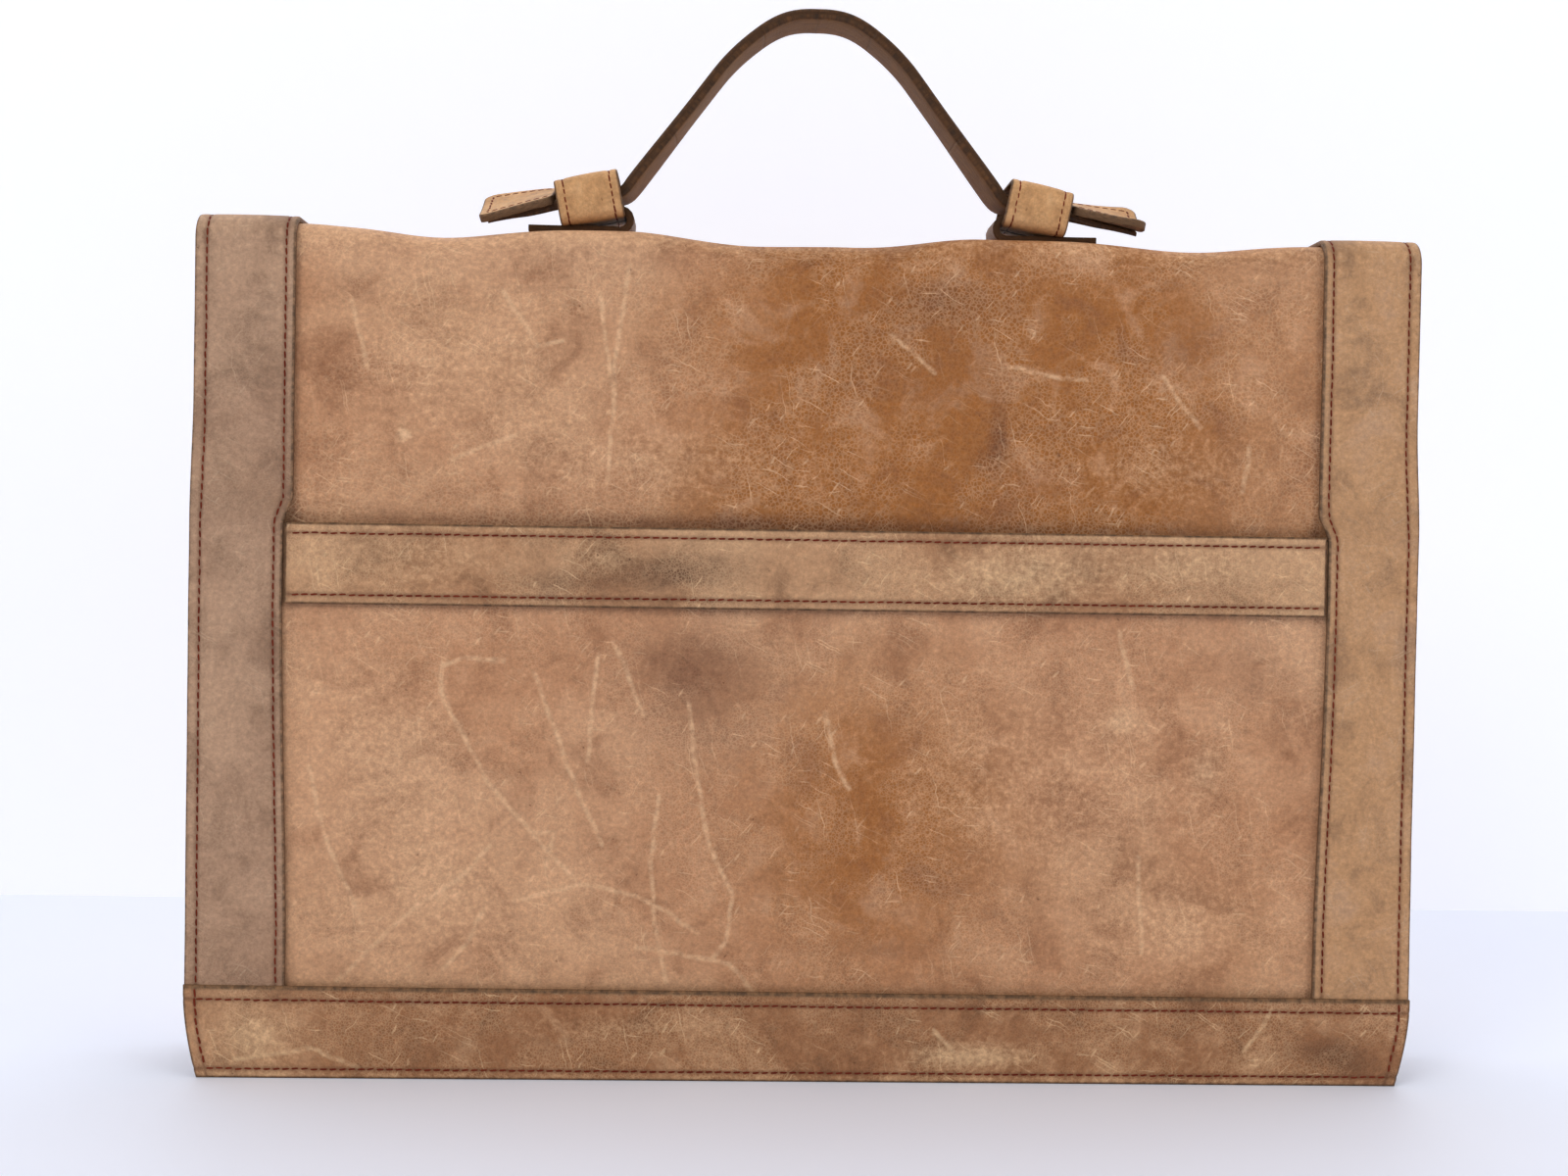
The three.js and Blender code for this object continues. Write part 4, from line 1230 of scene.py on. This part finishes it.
# The strap runs straight on into its cuff and turns level a little inside the cuff's mouth.
ENTRY_SHIFT = 1.3
BEND_RADIUS = 7.0

# The crown curves evenly from its crest over CURVE_LENGTH, then half as sharply over the same length.
CROWN_RADIUS = (LEG_PIVOT.x ** 2 + (CREST_Z - LEG_PIVOT.z) ** 2) / (2 * (CREST_Z - LEG_PIVOT.z))
CURVE_LENGTH = CROWN_RADIUS * math.asin(LEG_PIVOT.x / CROWN_RADIUS) * 2 / 3


# It stands out a little around its first hinge, so that the dropped strap lies smooth.
HINGE_SWELL = 0.5
HINGE_SWELL_REACH = 8.0


def arc_step(length, slope_from, slope_to):
    """How far a run of even curvature goes out and down."""
    turn = slope_to - slope_from
    if abs(turn) < 1e-9:
        return math.cos(slope_from) * length, math.sin(slope_from) * length
    radius = length / turn
    out = radius * (math.sin(slope_to) - math.sin(slope_from))
    down = radius * (math.cos(slope_from) - math.cos(slope_to))
    return out, down


def crown_end(slope):
    """Where the crown's curve ends if it reaches the given slope."""
    first = arc_step(CURVE_LENGTH, 0, slope * 2 / 3)
    second = arc_step(CURVE_LENGTH, slope * 2 / 3, slope)
    return first[0] + second[0], CREST_Z - first[1] - second[1]


def find_leg_slope():
    """The slope at which the leg, running on from the crown's curve, meets the hinge at its cuff."""
    steep, flat = math.radians(75), math.radians(30)
    for _ in range(40):
        slope = (steep + flat) / 2
        x, z = crown_end(slope)
        below = z - math.tan(slope) * (FOOT_PIVOT.x - x) < FOOT_PIVOT.z
        steep, flat = (slope, flat) if below else (steep, slope)
    return slope


LEG_SLOPE = find_leg_slope()
ENTRY_DROP = ENTRY_SHIFT * math.tan(LEG_SLOPE)
BEND_TURN = LEG_SLOPE - FOOT_SLOPE


def strap_runs():
    """Half of the strap's centre line as runs of even curvature: length, slope at start and at end."""
    rise = BEND_RADIUS * (1 / math.cos(BEND_TURN / 2) - 1)
    lean = (LEG_SLOPE + FOOT_SLOPE) / 2
    corner_x = FOOT_PIVOT.x + ENTRY_SHIFT - rise * math.sin(lean)
    leg = (corner_x - crown_end(LEG_SLOPE)[0]) / math.cos(LEG_SLOPE) - BEND_RADIUS * math.tan(BEND_TURN / 2)
    return (
        (CURVE_LENGTH, 0.0, LEG_SLOPE * 2 / 3),
        (CURVE_LENGTH, LEG_SLOPE * 2 / 3, LEG_SLOPE),
        (leg, LEG_SLOPE, LEG_SLOPE),
        (BEND_RADIUS * BEND_TURN, LEG_SLOPE, FOOT_SLOPE),
        (FOOT_LENGTH, FOOT_SLOPE, FOOT_SLOPE),
    )


STRAP_RUNS = strap_runs()
CROWN_END = 2 * CURVE_LENGTH
LEG_END = CROWN_END + STRAP_RUNS[2][0] + STRAP_RUNS[3][0] / 2
STRAP_END = sum(run[0] for run in STRAP_RUNS)


def strap_point(distance):
    """Centre line point (x, z) and slope on the right half, at a distance from the crest."""
    x, z, slope = 0.0, CREST_Z, 0.0
    nothing = 1e-9
    left = distance
    for length, slope_from, slope_to in STRAP_RUNS:
        part = min(left, length)
        slope = slope_from + (slope_to - slope_from) * part / length
        out, down = arc_step(part, slope_from, slope)
        x += out
        z -= down
        left -= part
        if left <= nothing:
            break
    swell = HINGE_SWELL * bump(distance - CURVE_LENGTH / 2, HINGE_SWELL_REACH)
    x += math.sin(slope) * swell
    z += math.cos(slope) * swell
    return x, z - tip_droop(x), slope


def tip_droop(x):
    """The strap's end follows its cuff's slope and droops to the top panel beyond it."""
    in_cuff = 0.02 * np.maximum(x - FOOT_PIVOT.x - 3, 0)
    return in_cuff + 1.8 * (np.maximum(x - CUFF_END, 0) / 26) ** 2


def strap_profile():
    """Points around the strap's section, with a groove where its two layers meet in the edges."""
    flat = STRAP_WIDTH / 2 - STRAP_ROUNDING
    half_thick = STRAP_THICKNESS / 2
    quarter = math.pi / 2
    points = []
    for side in (1, -1):
        for t in np.linspace(-side, side, 15):
            points.append((t * flat, side * (half_thick - STRAP_SWELL * t ** 4)))
        for angle in np.linspace(quarter, -quarter, 9)[1:-1]:
            reach = STRAP_ROUNDING - STRAP_GROOVE * bump(angle, 0.35)
            turned = angle if side > 0 else angle - math.pi
            out = side * flat + reach * math.cos(turned)
            points.append((out, (half_thick - STRAP_SWELL) * math.sin(turned)))
    return np.array(points)


def strap_twist(side, distance):
    """How far the strap's top face turns towards the pocket side, in radians."""
    middle = (CROWN_END + LEG_END) / 2
    in_cuff = smooth(distance, LEG_END - 6, LEG_END + 12)
    beyond = smooth(distance, LEG_END + 16, LEG_END + 34)
    entering = -3 * smooth(distance, middle - 14, LEG_END - 6) * (1 - in_cuff)
    return math.radians(entering + 9 * in_cuff + (13 if side < 0 else 9) * beyond)


def strap_skive(distance):
    """The strap is pared thinner under its stop tab."""
    return 1 - 0.6 * smooth(distance, LEG_END + 14, STRAP_END)


def strap_lean(z):
    """The handle leans a little towards the pocket side."""
    return -0.05 * np.maximum(z - TOP_Z - 14, 0)


def strap_piece(name, side, start, end):
    profile = strap_profile()
    count = max(int((end - start) / 1.2), 6)
    stations = np.linspace(start, end, count + 1)
    points = []
    at = []
    worn = []
    under = []
    for distance in stations:
        x, z, slope = strap_point(distance)
        twist = strap_twist(side, distance)
        out = np.array([math.sin(slope), 0, math.cos(slope)])
        wide = np.array([0, 1, 0])
        turned_wide = wide * math.cos(twist) + out * math.sin(twist)
        turned_out = out * math.cos(twist) - wide * math.sin(twist)
        centre = np.array([x, HANDLE_Y + strap_lean(z), z])
        for across, up in profile:
            corner = centre + turned_wide * across + turned_out * up * strap_skive(distance)
            points.append((corner[0] * side, corner[1], corner[2]))
            at.append((side * distance, across + (30 if up < 0 else 0), 0))
            worn.append(max(abs(across) - STRAP_WIDTH / 2 + 1.5, 0) / 1.5)
            under.append(0.75 * (up < 0) * (abs(across) < STRAP_WIDTH / 2 - 1.1))
    around = len(profile)
    faces = grid_faces(len(stations), around, closed=True)
    faces.append(tuple(range(around)))
    faces.append(tuple((len(stations) - 1) * around + k for k in range(around)))
    made = mesh_object(name, points, faces, {
        "leather_at": at,
        "cut_edge": np.array(worn),
        "flesh_side": under,
        "scuff": [0.35 * smooth(a[0] * side, CROWN_END, LEG_END) for a in at],
    })
    for polygon in made.data.polygons:
        if len(polygon.vertices) > 4:
            polygon.use_smooth = False
    dress(made, "strap")
    return made


def strap_blend(piece, distance, reach, side):
    """Works out a run of the strap's length around the place of one of the chain's hinges, and bakes the
    piece's transform; the strap is not bent here.
    """
    x, z, slope = strap_point(distance)
    along = Vector((math.cos(slope), 0, -math.sin(slope))) * reach
    start = Vector((x, HANDLE_Y, z)) - along
    end = Vector((x, HANDLE_Y, z)) + along
    for place in (start, end):
        place.x *= side
    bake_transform(piece)


def build_strap():
    leg_middle = (CROWN_END + LEG_END) / 2
    reach = CURVE_LENGTH / 2
    for side, word in ((-1, "left"), (1, "right")):
        crown = strap_piece(f"strap_grip_{word}", side, 0, CURVE_LENGTH)
        strap_blend(crown, reach, reach, side)
        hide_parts("strap_crown", f"strap_shoulder_{word}")
        upper = strap_piece(f"strap_upper_{word}", side, CURVE_LENGTH, leg_middle)
        strap_blend(upper, 3 * reach, reach, side)
        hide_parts(f"strap_leg_{word}")
        lower = strap_piece(f"strap_lower_{word}", side, leg_middle, STRAP_END)
        strap_blend(lower, LEG_END, BEND_RADIUS, side)
        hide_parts(f"strap_foot_{word}")


TAB_OUTWARD = (0, -0.4, 1)


def build_tabs():
    """Stop tabs: patches sewn on the strap's ends, rolled towards the pocket side with the strap."""
    length = high("stop_tab_right").x - low("stop_tab_right").x
    width = high("stop_tab_right").y - low("stop_tab_right").y
    thickness = 2.8
    start_x = low("stop_tab_right").x - 1.5
    corner = 5.0
    tab_start = LEG_END + (start_x - FOOT_PIVOT.x) / math.cos(FOOT_SLOPE)
    rolls = {"left": (-1, 17, 26, 0.0), "right": (1, 14, 20, 2.4)}
    for word, (side, inner_roll, outer_roll, curl) in rolls.items():

        def place(u, v):
            near_end = np.clip(np.minimum(v, length - v), 0, corner)
            inset = corner - np.sqrt(corner ** 2 - (corner - near_end) ** 2)
            across = (u - width / 2) * (1 - inset / (width / 2))
            share = v / length
            x = start_x + v
            roll = np.radians(inner_roll + (outer_roll - inner_roll) * share)
            strap_top = STRAP_THICKNESS / 2 * strap_skive(tab_start + v)
            lift = strap_top + thickness + (0.7 + curl * share) * (across / 12) ** 2 * share
            level = FOOT_PIVOT.z - ENTRY_DROP - math.tan(FOOT_SLOPE) * (x - FOOT_PIVOT.x - ENTRY_SHIFT)
            centre = level - tip_droop(x)
            y = HANDLE_Y + strap_lean(centre) + across * np.cos(roll) - lift * np.sin(roll)
            z = centre + across * np.sin(roll) + lift * np.cos(roll)
            return np.stack([side * x + 0 * y, y, z], axis=-1)

        us = grid_line(0, width, 1.4, edge=0.7)
        vs = grid_line(0, length, 1.4, edge=0.7, fine=(0.25, 1.2, 3.0), fine_reach=0.4)
        tab = sheet(f"stop_tab_leather_{word}", us, vs, place, TAB_OUTWARD, thickness=thickness, edge=0.8)
        dress(tab, "cuff", (f"stop_tab_{word}",), f"foot_{word}")
        inset = 3.2
        far = length - inset
        ring = [(inset, 1.5), (inset, far), (width - inset, far), (width - inset, 1.5)]
        thread = thread_object(f"thread_tab_{word}", [stitch_row(place, ring, TAB_OUTWARD, pitch=2.8)], 0.9)
        dress(thread, "thread", body=f"foot_{word}")


CUFF_TILT = math.radians(11)
CUFF_WALL = 1.6
CUFF_STITCH = 3.1


def cuff_size():
    """Length and height of the tilted cuff, worked back from its box."""
    span = high("handle_cuff_right") - low("handle_cuff_right")
    c, s = math.cos(CUFF_TILT), math.sin(CUFF_TILT)
    length = (span.x * c - span.z * s) / (c * c - s * s)
    height = (span.z * c - span.x * s) / (c * c - s * s)
    return length, height, span.y


def build_cuffs():
    length, height, width = cuff_size()
    centre = (high("handle_cuff_right") + low("handle_cuff_right")) / 2
    radius = 3.6
    flat_w = width - 2 * radius
    flat_h = height - 2 * radius
    quarter = radius * math.pi / 2
    around = 2 * flat_w + 2 * flat_h + 4 * quarter
    rows = []
    for side, word in ((-1, "left"), (1, "right")):
        def place(u, v):
            """u runs around the cuff from the middle of its underside, v along it."""
            runs = (flat_w / 2, quarter, flat_h, quarter, flat_w, quarter, flat_h, quarter, flat_w / 2)
            y = 0.0 * u
            z = 0.0 * u - height / 2
            heading = 0.0 * u
            passed = 0.0
            for index, run in enumerate(runs):
                part = np.clip(u - passed, 0, run)
                if index % 2 == 0:
                    y = y - part * np.cos(heading)
                    z = z + part * np.sin(heading)
                else:
                    turn = part / radius
                    y = y - radius * (np.sin(heading + turn) - np.sin(heading))
                    z = z + radius * (np.cos(heading) - np.cos(heading + turn))
                    heading = heading + turn
                passed += run
            swell = 1 + 0.04 * np.sin(math.pi * v / length)
            dent = 1 - 0.035 * (bump(v - CUFF_STITCH, 0.6) + bump(v - length + CUFF_STITCH, 0.6))
            taper = 1.03 - 0.06 * v / length
            y, z = y * swell * dent, z * swell * dent * taper
            x = v - length / 2
            tilted_x = x * math.cos(CUFF_TILT) + z * math.sin(CUFF_TILT)
            tilted_z = -x * math.sin(CUFF_TILT) + z * math.cos(CUFF_TILT)
            return np.stack([
                side * (centre.x + tilted_x), centre.y + y - 0.06 * tilted_z, centre.z + tilted_z,
            ], axis=-1)

        us = grid_line(0, around, 1.2, edge=0.4)
        vs = grid_line(0, length, 1.5, edge=0.8, fine=(CUFF_STITCH, length - CUFF_STITCH))
        cuff = sheet(f"cuff_leather_{word}", us, vs, place, (0, 0, 1), thickness=CUFF_WALL, edge=0.8)
        dress(cuff, "cuff", (f"handle_cuff_{word}",), "top")
        for line in (CUFF_STITCH, length - CUFF_STITCH):
            rows.append(stitch_row(place, [(2, line), (around - 2, line)], (0, 0, 1), pitch=2.6))
    thread = thread_object("thread_cuffs", rows, 0.85)
    dress(thread, "thread", body="top")


def build_anchors():
    """The strip under each cuff: flat on the top, turned back through the cuff."""
    box_low = low("handle_anchor_right")
    box_high = high("handle_anchor_right")
    thickness = 2.5
    low_z = box_low.z + thickness / 2
    rise = math.tan(CUFF_TILT)
    high_z = box_high.z - thickness / 2 - 0.6
    radius = (high_z - low_z) / 2
    turn_x = box_low.x + radius + thickness / 2 + 0.8
    end_x = box_high.x - 5
    upper_end = high("handle_cuff_right").x - 3.0
    upper = (upper_end - turn_x) / math.cos(CUFF_TILT)
    lower = end_x - turn_x
    for side, word in ((-1, "left"), (1, "right")):
        def place(u, v):
            bend = np.clip((v - lower) / radius, 0, math.pi)
            back = np.clip(v - lower - radius * math.pi, 0, upper)
            x = end_x - np.clip(v, 0, lower) - radius * np.sin(bend) + back * math.cos(CUFF_TILT)
            z = low_z + radius * (1 - np.cos(bend)) - back * rise * math.cos(CUFF_TILT)
            wave = 0.25 * np.sin(v / 5.0) * (v < lower)
            outward = thickness / 2
            x_out = -outward * np.sin(bend) * (bend < math.pi)
            z_out = -outward * np.cos(bend)
            return np.stack([side * (x + x_out), HANDLE_Y + u + wave + 0 * x, z + z_out + 0 * u], axis=-1)

        us = grid_line(-8.8, 8.8, 1.8, edge=0.5)
        vs = grid_line(0, lower + radius * math.pi + upper, 1.5, edge=0.5)
        inward = (-side, 0, 0)
        anchor = sheet(f"anchor_leather_{word}", us, vs, place, inward, thickness=thickness, edge=0.5)
        dress(anchor, "strap", (f"handle_anchor_{word}",), "top")


# ---- Lock hardware: the frame's own solids, with rounded edges ------------------------------------

def finish_hardware():
    parts = [n for n in frame["nodes"] if n.startswith(("hasp_", "lock_"))]
    for name in parts:
        piece = frame["nodes"][name]
        piece.data.materials.clear()
        piece.data.materials.append(materials["brass"])
        merge = piece.modifiers.new("flat_faces", "DECIMATE")
        merge.decimate_type = "DISSOLVE"
        merge.angle_limit = math.radians(2)
        rounding = piece.modifiers.new("rounded_edges", "BEVEL")
        rounding.width = 0.3 * MM
        rounding.segments = 3
        rounding.limit_method = "ANGLE"
        rounding.angle_limit = math.radians(40)


# ---- Put it together ----------------------------------------------------------------------------

def build_case():
    build_main_leather()
    rows_back, rows_flap = build_strips()
    build_pocket()
    rows_back += build_mouth_band() + build_bottom_band()
    back_thread = thread_object("thread_back", rows_back)
    dress(back_thread, "thread")
    bend_at_back(back_thread)
    rows_flap_band = build_flap_band()
    flap_thread = thread_object("thread_flap", rows_flap + rows_flap_band)
    dress(flap_thread, "thread")
    bend_at_front(flap_thread)
    build_front()
    front_thread = thread_object("thread_front", build_front_band())
    dress(front_thread, "thread", body="front")
    build_gusset()


build_case()
build_strap()
build_tabs()
build_cuffs()
build_anchors()
finish_hardware()


# ---- Floor, light and camera -------------------------------------------------------------------

def stage_plane(name, corners, material):
    mesh = bpy.data.meshes.new(name)
    mesh.from_pydata(corners, [], [(0, 1, 2, 3)])
    mesh.materials.append(material)
    plane = bpy.data.objects.new(name, mesh)
    bpy.context.scene.collection.objects.link(plane)
    return plane


def pale_surface(name, tint, glow, roughness, see_through_back=False):
    """A nearly white surface. Seen from behind it can be left out."""
    g = Graph(name)
    at = g.node("ShaderNodeTexCoord").outputs["Object"]
    cloudy = g.noise(at, 0.4, 3.0)
    tone = g.mix(cloudy, colour(*(c * 0.985 for c in tint)), colour(*tint))
    shader = g.node("ShaderNodeBsdfPrincipled", {
        "Base Color": tone,
        "Roughness": roughness,
        "Emission Color": colour(*tint),
        "Emission Strength": glow,
    }).outputs[0]
    if see_through_back:
        clear = g.node("ShaderNodeBsdfTransparent").outputs[0]
        behind = g.node("ShaderNodeNewGeometry").outputs["Backfacing"]
        shader = g.node("ShaderNodeMixShader", {0: behind, 1: shader, 2: clear}).outputs[0]
    output = g.node("ShaderNodeOutputMaterial")
    g.tree.links.new(shader, output.inputs[0])
    return g.material


def build_floor_and_wall():
    """Half sizes and places in metres. The wall faces the pocket side only."""
    reach = 4.0
    wall_y = 0.30
    floor = [(-reach, -reach, 0), (reach, -reach, 0), (reach, reach, 0), (-reach, reach, 0)]
    stage_plane("floor", floor, pale_surface("pale_floor", (234, 238, 250), 0.05, 0.6))
    wall = [(-reach, wall_y, 0), (reach, wall_y, 0), (reach, wall_y, reach), (-reach, wall_y, reach)]
    plane = stage_plane("wall", wall, pale_surface("pale_wall", (243, 245, 252), 0.24, 0.8, True))
    plane.visible_shadow = False


# Soft round lights: name, place and aim in metres, size, power and tint.
CASE_MIDDLE = (0, 0, 0.15)
LIGHTS = (
    ("key", (-0.9, -1.3, 1.3), CASE_MIDDLE, 1.1, 11.0, (1.0, 0.98, 0.95)),
    ("fill", (1.2, -1.0, 0.7), CASE_MIDDLE, 1.2, 5.0, (1.0, 0.98, 0.96)),
    ("back", (0.3, 1.5, 1.1), CASE_MIDDLE, 1.2, 3.3, (1.0, 0.99, 0.97)),
    ("top", (0, 0.1, 1.7), (0, 0, 0), 1.4, 6.3, (1.0, 1.0, 1.0)),
)


def build_light(name, place, aim, size, power, tint):
    lamp = bpy.data.lights.new(name, "AREA")
    lamp.shape = "DISK"
    lamp.size = size
    lamp.energy = power
    lamp.color = tint
    made = bpy.data.objects.new(name, lamp)
    made.location = place
    made.rotation_euler = (Vector(aim) - Vector(place)).to_track_quat("-Z", "Y").to_euler()
    bpy.context.scene.collection.objects.link(made)


def build_world():
    """A soft pale room, drawn lighter where the camera looks past everything."""
    world = bpy.data.worlds.new("pale_room")
    world.use_nodes = True
    nodes = world.node_tree.nodes
    links = world.node_tree.links
    lighting = nodes["Background"]
    lighting.inputs[0].default_value = (0.97, 0.98, 1.0, 1)
    lighting.inputs[1].default_value = 0.415
    seen = nodes.new("ShaderNodeBackground")
    seen.inputs[0].default_value = (0.95, 0.96, 0.98, 1)
    rays = nodes.new("ShaderNodeLightPath")
    chosen = nodes.new("ShaderNodeMixShader")
    links.new(rays.outputs["Is Camera Ray"], chosen.inputs[0])
    links.new(lighting.outputs[0], chosen.inputs[1])
    links.new(seen.outputs[0], chosen.inputs[2])
    links.new(chosen.outputs[0], nodes["World Output"].inputs[0])
    bpy.context.scene.world = world
    bpy.context.scene.view_settings.view_transform = "Standard"


# In front of the pocket, a little left of the middle, turned slightly right, down and over.
CAMERA_PLACE = (-32.6, -678.7, 177.8)
CAMERA_YAW = 2.1
CAMERA_PITCH = -1.14
CAMERA_ROLL = 1.0
CAMERA_LENS = 44.9


def build_camera():
    place = Vector(CAMERA_PLACE) * MM
    yaw, pitch, roll = (math.radians(angle) for angle in (CAMERA_YAW, CAMERA_PITCH, CAMERA_ROLL))
    forward = Vector((math.sin(yaw) * math.cos(pitch), math.cos(yaw) * math.cos(pitch), math.sin(pitch)))
    level = Vector((math.cos(yaw), -math.sin(yaw), 0))
    upright = level.cross(forward)
    right = level * math.cos(roll) + upright * math.sin(roll)
    up = upright * math.cos(roll) - level * math.sin(roll)
    lens = bpy.data.cameras.new("camera")
    lens.sensor_width = 36
    lens.lens = CAMERA_LENS
    lens.clip_start = 0.02
    camera = bpy.data.objects.new("camera", lens)
    turn = Matrix((right, up, -forward)).transposed()
    camera.matrix_world = Matrix.Translation(place) @ turn.to_4x4()
    bpy.context.scene.collection.objects.link(camera)
    bpy.context.scene.camera = camera


build_floor_and_wall()
for light in LIGHTS:
    build_light(*light)
build_world()
build_camera()
